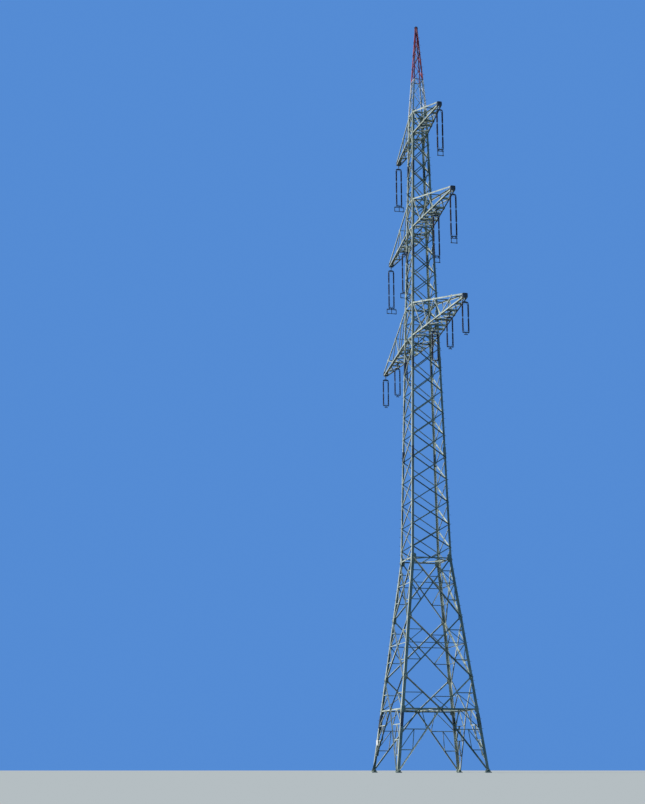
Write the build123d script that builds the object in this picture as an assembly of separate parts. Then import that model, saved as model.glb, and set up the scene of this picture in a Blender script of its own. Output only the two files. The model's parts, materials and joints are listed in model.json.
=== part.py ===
"""Lattice transmission pylon as a 1:2 scale model, in millimetres of the model.

X runs along the line, Y along the cross-arms, Z up. The origin is the middle of the
base, in the plane of the undersides of the four foot plates.
"""

import os
from math import hypot

from build123d import *

# Heights of the storeys, from the underside of the foot plates to the tip
RING_HEIGHT = 2600.0
KNEE_HEIGHT = 1350.0
LOWER_PANEL_HEIGHT = 2550.0
UPPER_PANEL_HEIGHT = 2550.0
SHAFT_HEIGHT = 10200.0
BOTTOM_ARM_DEPTH = 1600.0
BOTTOM_TO_MIDDLE_HEIGHT = 3750.0
MIDDLE_ARM_DEPTH = 1400.0
MIDDLE_TO_TOP_HEIGHT = 3400.0
TOP_ARM_DEPTH = 1120.0
WHITE_SECTION_HEIGHT = 1780.0
RED_SECTION_HEIGHT = 2900.0

# Half widths of the square body, out to the faces of the legs
BASE_HALF = 1997.0
WAIST_HALF = 905.0
TOP_HALF = 362.0
TIP_HALF = 70.0

# Half panels next to a ring, and the crossed panels between them
WAIST_HALF_PANEL = 500.0
RING_HALF_PANEL = 560.0
SHAFT_PANELS = 9
UPPER_PANELS = 3
ARM_PANELS = 2
PEAK_WHITE_PANELS = 2
PEAK_RED_PANELS = 4

# Angles of the four legs: flange and thickness
LOWER_LEG_FLANGE = 120.0
LOWER_LEG_STEEL = 13.0
UPPER_LEG_FLANGE = 95.0
UPPER_LEG_STEEL = 10.0
PEAK_LEG_FLANGE = 55.0
PEAK_STEEL = 6.0

# Bars of the body's four sides: width, and one thickness for each side
LOWER_BRACE = 58.0
LOWER_REDUNDANT = 34.0
LOWER_BRACE_STEEL = 9.0
UPPER_BRACE = 42.0
RING_BAR = 50.0
UPPER_BRACE_STEEL = 7.0
PEAK_BRACE = 24.0
CORNER_CLEARANCE = 3.0
END_CLEARANCE = 2.0

# Rings' plan bracing
PLAN_BAR = 44.0
PLAN_STEEL = 8.0

# Foot plates
FOOT_PLATE = 260.0
FOOT_STEEL = 24.0
ANCHOR_HOLE_RADIUS = 14.0
ANCHOR_SPACING = 180.0

# Cross-arms: how far out the phases hang, from the middle of the body
BOTTOM_FIRST_PHASE = 2025.0
BOTTOM_PHASE_SPACING = 2125.0
MIDDLE_FIRST_PHASE = 2550.0
MIDDLE_PHASE_SPACING = 2475.0
TOP_PHASE = 3400.0

# Cross-arms: floor bars on both sides of an inner phase, and other nodes of the webs
BOTTOM_BAR_OFFSET = 280.0
MIDDLE_BAR_OFFSET = 350.0
MIDDLE_FIRST_NODE_OFFSET = 1400.0
MIDDLE_SECOND_NODE_OFFSET = 1750.0
TOP_FIRST_NODE_OFFSET = 1250.0
TOP_SECOND_NODE_OFFSET = 1750.0

# Cross-arms: sections
ARM_TIP_HALF = 70.0
ARM_TIP_DEPTH = 130.0
ARM_TIP_LENGTH = 90.0
ARM_CHORD = 62.0
ARM_CROSS_BAR = 46.0
ARM_WEB = 34.0
ARM_FLOOR_BRACE = 28.0

# Hangers under the arms, and the pins that the insulator sets swing on
PIN_RADIUS = 9.0
PIN_RUNNING_CLEARANCE = 0.05
PIN_DROP = 70.0
EAR_THICKNESS = 10.0
EAR_RADIUS = 24.0
EYE_THICKNESS = 18.0
EYE_SIDE_GAP = 2.0
PIN_HEAD = 8.0

# Insulator sets
STRING_SPACING = 250.0
ROD_PITCH = 630.0
ROD_CAP_LENGTH = 45.0
ROD_RADIUS = 40.0
CAP_RADIUS = 21.0
LINK_LENGTH = 100.0
LINK_WIDTH = 26.0
YOKE_HEIGHT = 80.0
YOKE_STEEL = 14.0
YOKE_MARGIN = 26.0
TWIN_RODS = 3
SINGLE_RODS = 2
LOWER_YOKE_HEIGHT = 46.0
LOWER_YOKE_STEEL = 14.0
DROPPER_WIDTH = 26.0
DROPPER_STEEL = 16.0
TWIN_SPACING = 210.0
FRONT_TWIN_CLAMP_LENGTH = 310.0
BACK_TWIN_CLAMP_LENGTH = 500.0
SINGLE_CLAMP_LENGTH = 150.0
CLAMP_RADIUS = 20.0
CONDUCTOR_RADIUS = 7.0
CLAMP_DROP = 62.0

# Earth wire clamp on the tip
TIP_CAP = 60.0
EARTH_CLAMP_DROP = 45.0
EARTH_WIRE_RADIUS = 6.0

# Sizes that follow from those above
RING_Z = RING_HEIGHT
LOWER_NODE_Z = RING_Z + KNEE_HEIGHT
UPPER_NODE_Z = LOWER_NODE_Z + LOWER_PANEL_HEIGHT
WAIST_Z = UPPER_NODE_Z + UPPER_PANEL_HEIGHT
BOTTOM_ARM_Z = WAIST_Z + SHAFT_HEIGHT
MIDDLE_ARM_Z = BOTTOM_ARM_Z + BOTTOM_ARM_DEPTH + BOTTOM_TO_MIDDLE_HEIGHT
TOP_ARM_Z = MIDDLE_ARM_Z + MIDDLE_ARM_DEPTH + MIDDLE_TO_TOP_HEIGHT
TOP_RING_Z = TOP_ARM_Z + TOP_ARM_DEPTH
RED_Z = TOP_RING_Z + WHITE_SECTION_HEIGHT
TIP_Z = RED_Z + RED_SECTION_HEIGHT
CAP_Z = TIP_Z - TIP_CAP
BOTTOM_PHASES = tuple(BOTTOM_FIRST_PHASE + i * BOTTOM_PHASE_SPACING for i in range(3))
MIDDLE_PHASES = tuple(MIDDLE_FIRST_PHASE + i * MIDDLE_PHASE_SPACING for i in range(2))
TOP_PHASES = (TOP_PHASE,)
LOWER_SLOPE = (BASE_HALF - WAIST_HALF) / WAIST_Z
UPPER_SLOPE = (WAIST_HALF - TOP_HALF) / (TOP_RING_Z - WAIST_Z)
PEAK_SLOPE = (TOP_HALF - TIP_HALF) / (CAP_Z - TOP_RING_Z)
KINKS = (WAIST_Z, TOP_RING_Z)
ARMS = {
    "bottom": (BOTTOM_ARM_Z, BOTTOM_ARM_DEPTH, BOTTOM_PHASES),
    "middle": (MIDDLE_ARM_Z, MIDDLE_ARM_DEPTH, MIDDLE_PHASES),
    "top": (TOP_ARM_Z, TOP_ARM_DEPTH, TOP_PHASES),
}
SIDES = {"front": 0, "right": 90, "back": 180, "left": 270}


def half_width(z):
    """Half width of the body at a height, out to the outer faces of its legs."""
    if z <= WAIST_Z:
        return BASE_HALF - LOWER_SLOPE * z
    if z <= TOP_RING_Z:
        return WAIST_HALF - UPPER_SLOPE * (z - WAIST_Z)
    return TOP_HALF - PEAK_SLOPE * (z - TOP_RING_Z)


class Side:
    """One flat side of the tower between two heights, drawn in its own plane."""

    def __init__(self, low, high, slope, steel, leg_flange, leg_steel):
        self.low, self.high, self.steel = low, high, steel
        self.stretch = hypot(1.0, slope)
        self.leg_line = leg_flange / 2
        self.edge = leg_steel + self.depth() + CORNER_CLEARANCE
        front = -half_width(low) + leg_steel
        self.plane = Plane(origin=(0, front, low), x_dir=(1, 0, 0), z_dir=(0, -1, slope))

    def depth(self):
        """How deep the side's bars are, measured level."""
        return self.steel * self.stretch

    def at(self, x, z):
        """A point of the side, given across and up, in the plane's own measure."""
        return x, (z - self.low) * self.stretch

    def leg(self, sign, z):
        """The point on a leg's middle line where bars meet."""
        return sign * (half_width(z) - self.leg_line), z

    def bar(self, start, end, width):
        """A flat bar between two points given across and up."""
        (x0, y0), (x1, y1) = self.at(*start), self.at(*end)
        length = hypot(x1 - x0, y1 - y0)
        nx, ny = -(y1 - y0) / length * width / 2, (x1 - x0) / length * width / 2
        corners = [(x0 + nx, y0 + ny), (x0 - nx, y0 - ny), (x1 - nx, y1 - ny), (x1 + nx, y1 + ny)]
        return Polygon(*corners, align=None)

    def outline(self):
        """What lies between the other flanges of the two legs."""
        low, high = half_width(self.low) - self.edge, half_width(self.high) - self.edge
        return Polygon(
            self.at(-low, self.low), self.at(low, self.low),
            self.at(high, self.high), self.at(-high, self.high), align=None,
        )

    def plate(self, bars):
        """The bars fused where they cross, trimmed at the legs, as one solid."""
        sketch = (Sketch() + bars) & self.outline()
        return extrude(self.plane * sketch, amount=-self.steel)


def cross(side, low, high, width):
    """The two diagonals of a crossed panel."""
    return [
        side.bar(side.leg(-1, low), side.leg(1, high), width),
        side.bar(side.leg(1, low), side.leg(-1, high), width),
    ]


def level(side, z, width):
    """A horizontal bar from leg to leg."""
    return side.bar(side.leg(-1, z), side.leg(1, z), width)


def kite(side, middle_z, leg_z, width):
    """The half panel next to a ring: from the ring's middle to the two legs."""
    return [side.bar((0, middle_z), side.leg(sign, leg_z), width) for sign in (-1, 1)]


def between(start, end, share):
    """The point that lies a share of the way from one point to another."""
    return tuple(a + (b - a) * share for a, b in zip(start, end))


def crossing_height(side, low, high):
    """Where the diagonals of a tapering panel cross."""
    wide, narrow = side.leg(1, low)[0], side.leg(1, high)[0]
    return low + (high - low) * wide / (wide + narrow)


def big_panel(side, low, high):
    """A wide crossed panel with its horizontal and the short bars in each quarter."""
    middle = crossing_height(side, low, high)
    bars = cross(side, low, high, LOWER_BRACE) + [level(side, middle, LOWER_REDUNDANT)]
    for sign in (-1, 1):
        for end in (low, high):
            inner = between(side.leg(sign, end), (0, middle), 0.5)
            bars.append(side.bar(side.leg(sign, inner[1]), inner, LOWER_REDUNDANT))
            bars.append(side.bar(inner, side.leg(sign, middle), LOWER_REDUNDANT))
    return bars


def foot_panel(side, rungs):
    """The lowest panel: diagonals that kink at the ring, with rungs to the legs.

    From the middle of each rung, and of the ring on that side, two short bars go down to
    the ends of the rung below.
    """
    ring_middle = (0, RING_Z)
    bars = [level(side, RING_Z, LOWER_BRACE)]
    for sign in (-1, 1):
        foot, top = side.leg(sign, side.low), side.leg(sign, LOWER_NODE_Z)
        bars.append(side.bar(ring_middle, top, LOWER_BRACE))
        bars.append(side.bar(ring_middle, foot, LOWER_BRACE))
        half = between(ring_middle, top, 0.5)
        bars.append(side.bar(side.leg(sign, half[1]), half, LOWER_REDUNDANT))
        bars.append(side.bar(half, side.leg(sign, RING_Z), LOWER_REDUNDANT))
        above = between(ring_middle, side.leg(sign, RING_Z), 0.5)
        for rung in range(1, rungs + 1):
            inner = between(ring_middle, foot, rung / (rungs + 1))
            outer = side.leg(sign, inner[1])
            for start, end in ((inner, outer), (above, inner), (above, outer)):
                bars.append(side.bar(start, end, LOWER_REDUNDANT))
            above = between(inner, outer, 0.5)
    return bars


def lower_plane():
    """The frame of a side of the body below the waist."""
    return Side(FOOT_STEEL + END_CLEARANCE, WAIST_Z, LOWER_SLOPE, LOWER_BRACE_STEEL,
                LOWER_LEG_FLANGE, LOWER_LEG_STEEL)


def lower_side(rungs):
    """One side from the feet to the waist."""
    side = lower_plane()
    bars = foot_panel(side, rungs)
    bars += big_panel(side, LOWER_NODE_Z, UPPER_NODE_Z)
    bars += big_panel(side, UPPER_NODE_Z, WAIST_Z)
    return side.plate(bars)


def upper_plane(low, high):
    """The frame of a side of the body above the waist."""
    return Side(low, high, UPPER_SLOPE, UPPER_BRACE_STEEL, UPPER_LEG_FLANGE, UPPER_LEG_STEEL)


def crossed_row(side, low, high, count):
    """Equal crossed panels one above another."""
    pitch = (high - low) / count
    bars = []
    for panel in range(count):
        bars += cross(side, low + panel * pitch, low + (panel + 1) * pitch, UPPER_BRACE)
    return bars


def upper_side():
    """One side from the waist to the foot of the peak."""
    side = upper_plane(WAIST_Z + END_CLEARANCE, TOP_RING_Z)
    bars = [level(side, side.low + RING_BAR / 2, RING_BAR)]
    below, half_panel, panels = side.low, WAIST_HALF_PANEL, SHAFT_PANELS
    for low, depth, _ in ARMS.values():
        start, end = below + half_panel, low - RING_HALF_PANEL
        bars += kite(side, below, start, UPPER_BRACE) + kite(side, low, end, UPPER_BRACE)
        bars += crossed_row(side, start, end, panels)
        bars += crossed_row(side, low, low + depth, ARM_PANELS)
        bars += [level(side, low, RING_BAR), level(side, low + depth, RING_BAR)]
        below, half_panel, panels = low + depth, RING_HALF_PANEL, UPPER_PANELS
    return side.plate(bars)


def leg_length(low, high, flange, steel):
    """A length of the front left leg's angle, which follows the body's taper."""
    x, lean = -half_width(low), half_width(low) - half_width(high)
    angle = [(0, 0), (flange, 0), (flange, steel), (steel, steel), (steel, flange), (0, flange)]
    section = make_face(Polyline(*[(x + a, x + b, low) for a, b in angle], close=True))
    return Solid.extrude(section.face(), Vector(lean, lean, high - low))


def foot_plate():
    """The front left foot's plate, with its anchor holes."""
    middle = -half_width(0) + LOWER_LEG_FLANGE / 2
    plate = Pos(middle, middle, FOOT_STEEL / 2) * Box(FOOT_PLATE, FOOT_PLATE, FOOT_STEEL)
    for x in (-ANCHOR_SPACING / 2, ANCHOR_SPACING / 2):
        for y in (-ANCHOR_SPACING / 2, ANCHOR_SPACING / 2):
            hole = Cylinder(ANCHOR_HOLE_RADIUS, 2 * FOOT_STEEL)
            plate -= Pos(middle + x, middle + y, FOOT_STEEL / 2) * hole
    return plate


def front_left_leg():
    """A whole leg, from its foot plate to the foot of the peak."""
    lower = leg_length(FOOT_STEEL, WAIST_Z, LOWER_LEG_FLANGE, LOWER_LEG_STEEL)
    upper = leg_length(WAIST_Z, TOP_RING_Z, UPPER_LEG_FLANGE, UPPER_LEG_STEEL)
    return Part() + [lower, upper, foot_plate()]


def inside_body(low, high, depth):
    """A tapering block of space inside the body, a depth in from its faces."""
    wires = []
    for z in (low, high):
        half = half_width(z) - depth
        corners = [(-half, -half, z), (half, -half, z), (half, half, z), (-half, half, z)]
        wires.append(Wire.make_polygon(corners))
    return Solid.make_loft(wires, ruled=True)


def body_blocks(low, high):
    """The body as whole blocks between two heights, split where its taper changes."""
    cuts = [low, *[z for z in KINKS if low < z < high], high]
    return [inside_body(start, end, 0) for start, end in zip(cuts, cuts[1:])]


def plan_frame(z, depth, halved=False):
    """A ring's flat plan bracing, which links the middles of the four sides."""
    reach = half_width(z - PLAN_STEEL) + PLAN_BAR
    corners = [(reach, 0), (0, reach), (-reach, 0), (0, -reach)]
    bars = [flat_bar(corners[i], corners[(i + 1) % 4], PLAN_BAR) for i in range(4)]
    if halved:
        bars += [flat_bar(corners[i], corners[i + 2], PLAN_BAR) for i in range(2)]
    frame = extrude(Pos(0, 0, z - PLAN_STEEL / 2) * (Sketch() + bars), amount=PLAN_STEEL)
    return frame & inside_body(z - PLAN_STEEL, z + PLAN_STEEL, depth)


def flat_bar(start, end, width):
    """A flat bar drawn in plan."""
    dx, dy = end[0] - start[0], end[1] - start[1]
    length = hypot(dx, dy)
    nx, ny = -dy / length * width / 2, dx / length * width / 2
    return Polygon(
        (start[0] + nx, start[1] + ny), (start[0] - nx, start[1] - ny),
        (end[0] - nx, end[1] - ny), (end[0] + nx, end[1] + ny), align=None,
    )


def peak_section(low, high, panels):
    """A length of the peak: four flat sides, which join as angles at the corners."""
    side = Side(low, high, PEAK_SLOPE, PEAK_STEEL, PEAK_LEG_FLANGE, 0)
    side.edge = 0
    pitch = (high - low) / panels
    bars = [side.bar(side.leg(sign, low), side.leg(sign, high), PEAK_LEG_FLANGE) for sign in (-1, 1)]
    for panel in range(panels):
        bars += cross(side, low + panel * pitch, low + (panel + 1) * pitch, PEAK_BRACE)
    for z in (low + PEAK_BRACE / 2, high - PEAK_BRACE / 2):
        bars.append(level(side, z, PEAK_BRACE))
    plate = side.plate(bars)
    sides = Part() + [plate.rotate(Axis.Z, turn) for turn in SIDES.values()]
    return sides & body_blocks(low, high)[0]


def peak_tip():
    """The cap on the tip, with the bore that holds the earth wire."""
    height = TIP_CAP + PEAK_BRACE / 2
    cap = Pos(0, 0, TIP_Z - height / 2) * Box(2 * TIP_HALF, 2 * TIP_HALF, height)
    bore = Cylinder(EARTH_WIRE_RADIUS, 4 * TIP_HALF, rotation=(0, 90, 0))
    return cap - Pos(0, 0, TIP_Z - EARTH_CLAMP_DROP) * bore


def square_bar(start, end, width):
    """A square bar between two points, with two of its sides upright."""
    start, end = Vector(*start), Vector(*end)
    along = end - start
    plane = Plane(origin=start, x_dir=Vector(0, 0, 1).cross(along), z_dir=along)
    return extrude(plane * Rectangle(width, width), amount=along.length)


def middle(start, end):
    """Half way between two places."""
    return (start + end) / 2


def bars_about(phases, offset):
    """The floor bars on both sides of an arm's inner phases."""
    return [out + side for out in phases[:-1] for side in (-offset, offset)]


def bottom_arm():
    """The front half of the bottom cross-arm, with three phases."""
    bars = bars_about(BOTTOM_PHASES, BOTTOM_BAR_OFFSET)
    peak, last = middle(bars[1], bars[2]), middle(bars[2], BOTTOM_PHASES[-1])
    webs = [(bars[0], bars[1]), (peak, bars[1]), (peak, bars[2]), (last, bars[2])]
    return Arm(*ARMS["bottom"], bars[0], webs, bars)


def middle_arm():
    """The front half of the middle cross-arm, with two phases."""
    bars = bars_about(MIDDLE_PHASES, MIDDLE_BAR_OFFSET)
    peak = middle(MIDDLE_SECOND_NODE_OFFSET, bars[1])
    webs = [(peak, MIDDLE_SECOND_NODE_OFFSET), (peak, bars[1])]
    return Arm(*ARMS["middle"], MIDDLE_FIRST_NODE_OFFSET, webs, [MIDDLE_FIRST_NODE_OFFSET, *bars])


def top_arm():
    """The front half of the top cross-arm, with its one phase."""
    webs = [(TOP_SECOND_NODE_OFFSET, TOP_SECOND_NODE_OFFSET)]
    return Arm(*ARMS["top"], TOP_FIRST_NODE_OFFSET, webs, [TOP_FIRST_NODE_OFFSET, TOP_SECOND_NODE_OFFSET])


class Arm:
    """Half of a cross-arm, which reaches out along -Y from the body's front.

    Places along it are told by how far out they lie from the middle of the body.
    """

    def __init__(self, low, depth, phases, first_node, webs, floor_bars):
        self.low, self.depth, self.phases = low, depth, phases
        self.first_node, self.webs, self.floor_bars = first_node, webs, floor_bars
        self.reach = phases[-1]
        self.root, self.high_root = half_width(low), half_width(low + depth)
        self.low_half = self.root - UPPER_LEG_FLANGE / 2
        self.high_half = self.high_root - UPPER_LEG_FLANGE / 2

    def lower(self, sign, out):
        """A point on a lower chord."""
        share = (out - self.root) / (self.reach - self.root)
        half = self.low_half + (ARM_TIP_HALF - self.low_half) * share
        return sign * half, -out, self.low

    def upper(self, sign, out):
        """A point on an upper chord."""
        share = (out - self.high_root) / (self.reach - self.high_root)
        half = self.high_half + (ARM_TIP_HALF - self.high_half) * share
        top = self.depth - ARM_CHORD / 2
        height = top + (ARM_TIP_DEPTH - top) * share
        return sign * half, -out, self.low + height

    def chords(self):
        """The four chords, from inside the body's faces to the tip."""
        inner = self.root - 2 * ARM_CHORD
        bars = []
        for sign in (-1, 1):
            for place in (self.lower, self.upper):
                bars.append(square_bar(place(sign, inner), place(sign, self.reach), ARM_CHORD))
        return bars

    def side_webs(self):
        """The webs of both sloping sides, and the bars between the upper chords."""
        bars = []
        for high, low in [(self.high_root - ARM_CHORD, self.first_node), *self.webs]:
            for sign in (-1, 1):
                bars.append(square_bar(self.upper(sign, high), self.lower(sign, low), ARM_WEB))
        for high in sorted({high for high, _ in self.webs}):
            bars.append(square_bar(self.upper(-1, high), self.upper(1, high), ARM_WEB))
        return bars

    def floor(self):
        """The floor's level bars, and the crossed bars of its longer bays."""
        bars = [square_bar(self.lower(-1, out), self.lower(1, out), ARM_CROSS_BAR)
                for out in self.floor_bars]
        stops = [self.root, *self.floor_bars, self.reach]
        for inner, outer in zip(stops, stops[1:]):
            if outer - inner > self.low_half:
                for start, end in ((inner, middle(inner, outer)), (middle(inner, outer), outer)):
                    for sign in (-1, 1):
                        bars.append(square_bar(
                            self.lower(sign, start), self.lower(-sign, end), ARM_FLOOR_BRACE))
        return bars

    def carriers(self):
        """The short bars between two floor bars that carry the inner phases."""
        bars = []
        for out in self.phases[:-1]:
            inner = max(bar for bar in self.floor_bars if bar < out)
            outer = min(bar for bar in self.floor_bars if bar > out)
            bars.append(square_bar((0, -inner, self.low), (0, -outer, self.low), ARM_CROSS_BAR))
        return bars

    def tip(self):
        """The block that closes the tip."""
        width, height = 2 * ARM_TIP_HALF + ARM_CHORD, ARM_TIP_DEPTH + ARM_CHORD
        centre_z = self.low - ARM_CHORD / 2 + height / 2
        return Pos(0, -self.reach, centre_z) * Box(width, ARM_TIP_LENGTH, height)

    def build(self):
        """The whole half arm, trimmed flush with the body and with its hangers."""
        bars = self.chords() + self.side_webs() + self.floor() + self.carriers()
        frame = Part() + [*bars, self.tip()]
        for block in body_blocks(self.low - self.depth, self.low + 2 * self.depth):
            frame -= block
        for out in self.phases:
            frame += hanger(-out, self.low - ARM_CROSS_BAR / 2)
        return frame


def hanger(y, top):
    """Two ears and their pin, under a cross-arm's bar."""
    pin_z = top - PIN_DROP
    gap = EYE_THICKNESS / 2 + EYE_SIDE_GAP
    parts = []
    for sign in (-1, 1):
        x = sign * (gap + EAR_THICKNESS / 2)
        height = PIN_DROP + ARM_CROSS_BAR / 4
        parts.append(Pos(x, y, pin_z + height / 2) * Box(EAR_THICKNESS, 2 * EAR_RADIUS, height))
        parts.append(Pos(x, y, pin_z) * Cylinder(EAR_RADIUS, EAR_THICKNESS, rotation=(0, 90, 0)))
    length = 2 * (gap + EAR_THICKNESS + PIN_HEAD)
    parts.append(Pos(0, y, pin_z) * Cylinder(PIN_RADIUS, length, rotation=(0, 90, 0)))
    return parts


def string_x():
    """Where the two strings of a set hang, along the line."""
    return (-STRING_SPACING / 2, STRING_SPACING / 2)


def yoke_top():
    """Height of the upper yoke's seat for the strings, below the pin."""
    return -LINK_LENGTH - YOKE_HEIGHT


def strings(rods):
    """Both strings of long rods of one set, about its pin at the origin."""
    solids = []
    for x in string_x():
        pieces = []
        for rod in range(rods):
            top = yoke_top() - rod * ROD_PITCH
            pieces.append(Pos(x, 0, top - ROD_PITCH / 2) * Cylinder(CAP_RADIUS, ROD_PITCH))
            body = ROD_PITCH - 2 * ROD_CAP_LENGTH
            pieces.append(Pos(x, 0, top - ROD_PITCH / 2) * Cylinder(ROD_RADIUS, body))
        solids.append(Part() + pieces)
    return Compound(children=[solid for part in solids for solid in part.solids()])


def flat_plate(corners, thickness):
    """A plate that stands in the plane of the strings."""
    return extrude(Plane.XZ * Polygon(*corners, align=None), amount=thickness / 2, both=True)


def upper_fitting():
    """The eye on the pin, its link and the upper yoke."""
    half = STRING_SPACING / 2 + YOKE_MARGIN
    seat = yoke_top()
    shoulder = seat + YOKE_HEIGHT / 3
    apex = LINK_WIDTH
    yoke = flat_plate([(-half, seat), (half, seat), (half, shoulder), (apex, -LINK_LENGTH),
                       (-apex, -LINK_LENGTH), (-half, shoulder)], YOKE_STEEL)
    link = Pos(0, 0, -LINK_LENGTH / 2 - YOKE_STEEL / 2) * Box(
        EYE_THICKNESS, LINK_WIDTH, LINK_LENGTH + YOKE_STEEL)
    eye = Cylinder(EAR_RADIUS, EYE_THICKNESS, rotation=(0, 90, 0))
    bore = Cylinder(PIN_RADIUS + PIN_RUNNING_CLEARANCE, 2 * EYE_THICKNESS, rotation=(0, 90, 0))
    return (Part() + [yoke, link, eye]) - bore


def dropper(x, top, bottom):
    """A flat bar that hangs in the plane of the strings."""
    half = DROPPER_WIDTH / 2
    return flat_plate([(x - half, bottom), (x + half, bottom), (x + half, top), (x - half, top)],
                      DROPPER_STEEL)


def lower_fitting(rods, length, droppers):
    """The lower yoke and its clamps, so long: one, or two that droppers hold one above the other."""
    seat = yoke_top() - rods * ROD_PITCH
    foot = seat - LOWER_YOKE_HEIGHT
    half, corner = STRING_SPACING / 2 + YOKE_MARGIN, foot + YOKE_MARGIN
    yoke = flat_plate([(-half, seat), (half, seat), (half, corner), (YOKE_MARGIN, foot),
                       (-YOKE_MARGIN, foot), (-half, corner)], LOWER_YOKE_STEEL)
    first = foot - CLAMP_DROP
    parts, clamps = [yoke], [first]
    if droppers:
        clamps.append(first - TWIN_SPACING)
        parts += [dropper(x, corner if x in string_x() else first, clamps[-1]) for x in droppers]
    if 0 in droppers or not droppers:
        parts.append(dropper(0, corner, first))
    fitting = Part() + (parts + [conductor_cylinder(z, CLAMP_RADIUS, length) for z in clamps])
    for z in clamps:
        fitting -= conductor_cylinder(z, CONDUCTOR_RADIUS, 2 * length)
    return fitting


def conductor_cylinder(z, radius, length):
    """A cylinder about the conductor at a height below the pin, along the line."""
    return Pos(0, 0, z) * Cylinder(radius, length, rotation=(0, 90, 0))


def fittings(rods, half, twin):
    """The steel of one set: its upper and its lower fitting, which the strings part."""
    length, droppers = SINGLE_CLAMP_LENGTH, ()
    if twin and half == "front":
        length, droppers = FRONT_TWIN_CLAMP_LENGTH, string_x()
    elif twin:
        length, end = BACK_TWIN_CLAMP_LENGTH, (BACK_TWIN_CLAMP_LENGTH - DROPPER_WIDTH) / 2
        droppers = (-end, 0, end)
    upper, lower = upper_fitting(), lower_fitting(rods, length, droppers)
    return Compound(children=[*upper.solids(), *lower.solids()])


def write(node, shape):
    """Writes one node's STEP file."""
    export_step(shape, f"parts/{node}.step")


def write_body():
    """Legs, sides and rings of the tower's body."""
    leg = front_left_leg()
    for name, turn in (("front_left", 0), ("front_right", 90), ("back_right", 180), ("back_left", 270)):
        write(f"leg_{name}", leg.rotate(Axis.Z, turn))
    upper = upper_side()
    lower = {2: lower_side(2), 3: lower_side(3)}
    for name, turn in SIDES.items():
        rungs = 2 if name in ("front", "back") else 3
        write(f"lower_bracing_{name}", lower[rungs].rotate(Axis.Z, turn))
        write(f"upper_bracing_{name}", upper.rotate(Axis.Z, turn))
    write("plan_bracing", plan_bracing())


def plan_bracing():
    """The level frames inside the body's rings, which the four sides carry."""
    lower_depth = LOWER_LEG_STEEL + lower_plane().depth()
    upper_depth = UPPER_LEG_STEEL + upper_plane(WAIST_Z, TOP_RING_Z).depth()
    frames = [plan_frame(RING_Z, lower_depth, halved=True)]
    frames.append(plan_frame(WAIST_Z + RING_BAR / 2, upper_depth))
    for low, depth, _ in ARMS.values():
        frames.append(plan_frame(low, upper_depth))
        frames.append(plan_frame(low + depth - RING_BAR / 4, upper_depth))
    return Compound(children=[solid for frame in frames for solid in frame.solids()])


def write_peak():
    """The peak's white and red lengths."""
    write("peak_white", peak_section(TOP_RING_Z, RED_Z, PEAK_WHITE_PANELS))
    write("peak_red", peak_section(RED_Z, CAP_Z, PEAK_RED_PANELS) + peak_tip())


def write_arms():
    """The six half arms and the insulator sets that hang from them."""
    for level_name, arm in (("bottom", bottom_arm()), ("middle", middle_arm()), ("top", top_arm())):
        twin = level_name != "bottom"
        rods = TWIN_RODS if twin else SINGLE_RODS
        frame, insulators = arm.build(), strings(rods)
        for name, turn in (("front", 0), ("back", 180)):
            steel = fittings(rods, name, twin)
            write(f"{level_name}_arm_{name}", frame.rotate(Axis.Z, turn))
            for place, out in zip(phase_names(arm.phases), arm.phases):
                hang = Pos(0, -out, arm.low - ARM_CROSS_BAR / 2 - PIN_DROP)
                for kind, shape in (("strings", insulators), ("fittings", steel)):
                    write(f"{level_name}_{place}_{kind}_{name}", (hang * shape).rotate(Axis.Z, turn))


def phase_names(phases):
    """What the phases of an arm are called, from the body out."""
    return {1: ("tip",), 2: ("inner", "tip"), 3: ("inner", "middle", "tip")}[len(phases)]


os.makedirs("parts", exist_ok=True)
write_body()
write_peak()
write_arms()
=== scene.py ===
"""The looks of a lattice transmission pylon at half scale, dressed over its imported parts.

Lengths are metres of the model. X runs along the line, Y along the cross-arms and Z up.
"""

import json
import logging
import math
from collections.abc import Callable, Iterator
from contextlib import AbstractContextManager, contextmanager
from dataclasses import dataclass, field
from enum import Enum

import bmesh
import bpy
from mathutils import Matrix, Vector


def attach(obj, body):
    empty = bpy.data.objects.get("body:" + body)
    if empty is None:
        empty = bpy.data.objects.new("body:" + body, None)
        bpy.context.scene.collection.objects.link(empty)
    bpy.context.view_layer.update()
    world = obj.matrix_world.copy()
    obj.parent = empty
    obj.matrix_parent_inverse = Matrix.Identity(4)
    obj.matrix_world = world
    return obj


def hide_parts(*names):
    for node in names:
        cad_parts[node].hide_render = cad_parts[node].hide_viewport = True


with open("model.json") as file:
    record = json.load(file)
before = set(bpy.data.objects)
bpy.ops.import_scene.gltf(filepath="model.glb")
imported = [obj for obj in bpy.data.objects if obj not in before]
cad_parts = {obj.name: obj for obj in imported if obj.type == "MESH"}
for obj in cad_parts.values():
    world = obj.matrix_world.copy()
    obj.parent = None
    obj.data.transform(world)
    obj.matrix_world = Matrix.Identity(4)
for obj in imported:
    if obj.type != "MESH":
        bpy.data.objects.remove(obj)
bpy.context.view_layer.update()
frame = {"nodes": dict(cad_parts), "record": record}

Pair = tuple[float, float]
Triple = tuple[float, float, float]
Socket = bpy.types.NodeSocket

LOG = logging.getLogger("pylon")
TOWER = "tower"
PHOTO_HEIGHT_PX = 804
SMOOTH_ANGLE = math.radians(35)
SIDES = (-1, 1)
X, Y, Z = Vector((1, 0, 0)), Vector((0, 1, 0)), Vector((0, 0, 1))
ORIGIN = (0, 0, 0)
ALONG_X, ALONG_Y = (0, math.pi / 2, 0), (math.pi / 2, 0, 0)


class Slot(Enum):
    """The record's material slots."""

    LATTICE = "lattice"
    PEAK_WHITE = "peak_white"
    PEAK_RED = "peak_red"
    FITTINGS = "fittings"
    INSULATORS = "insulators"


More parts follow.
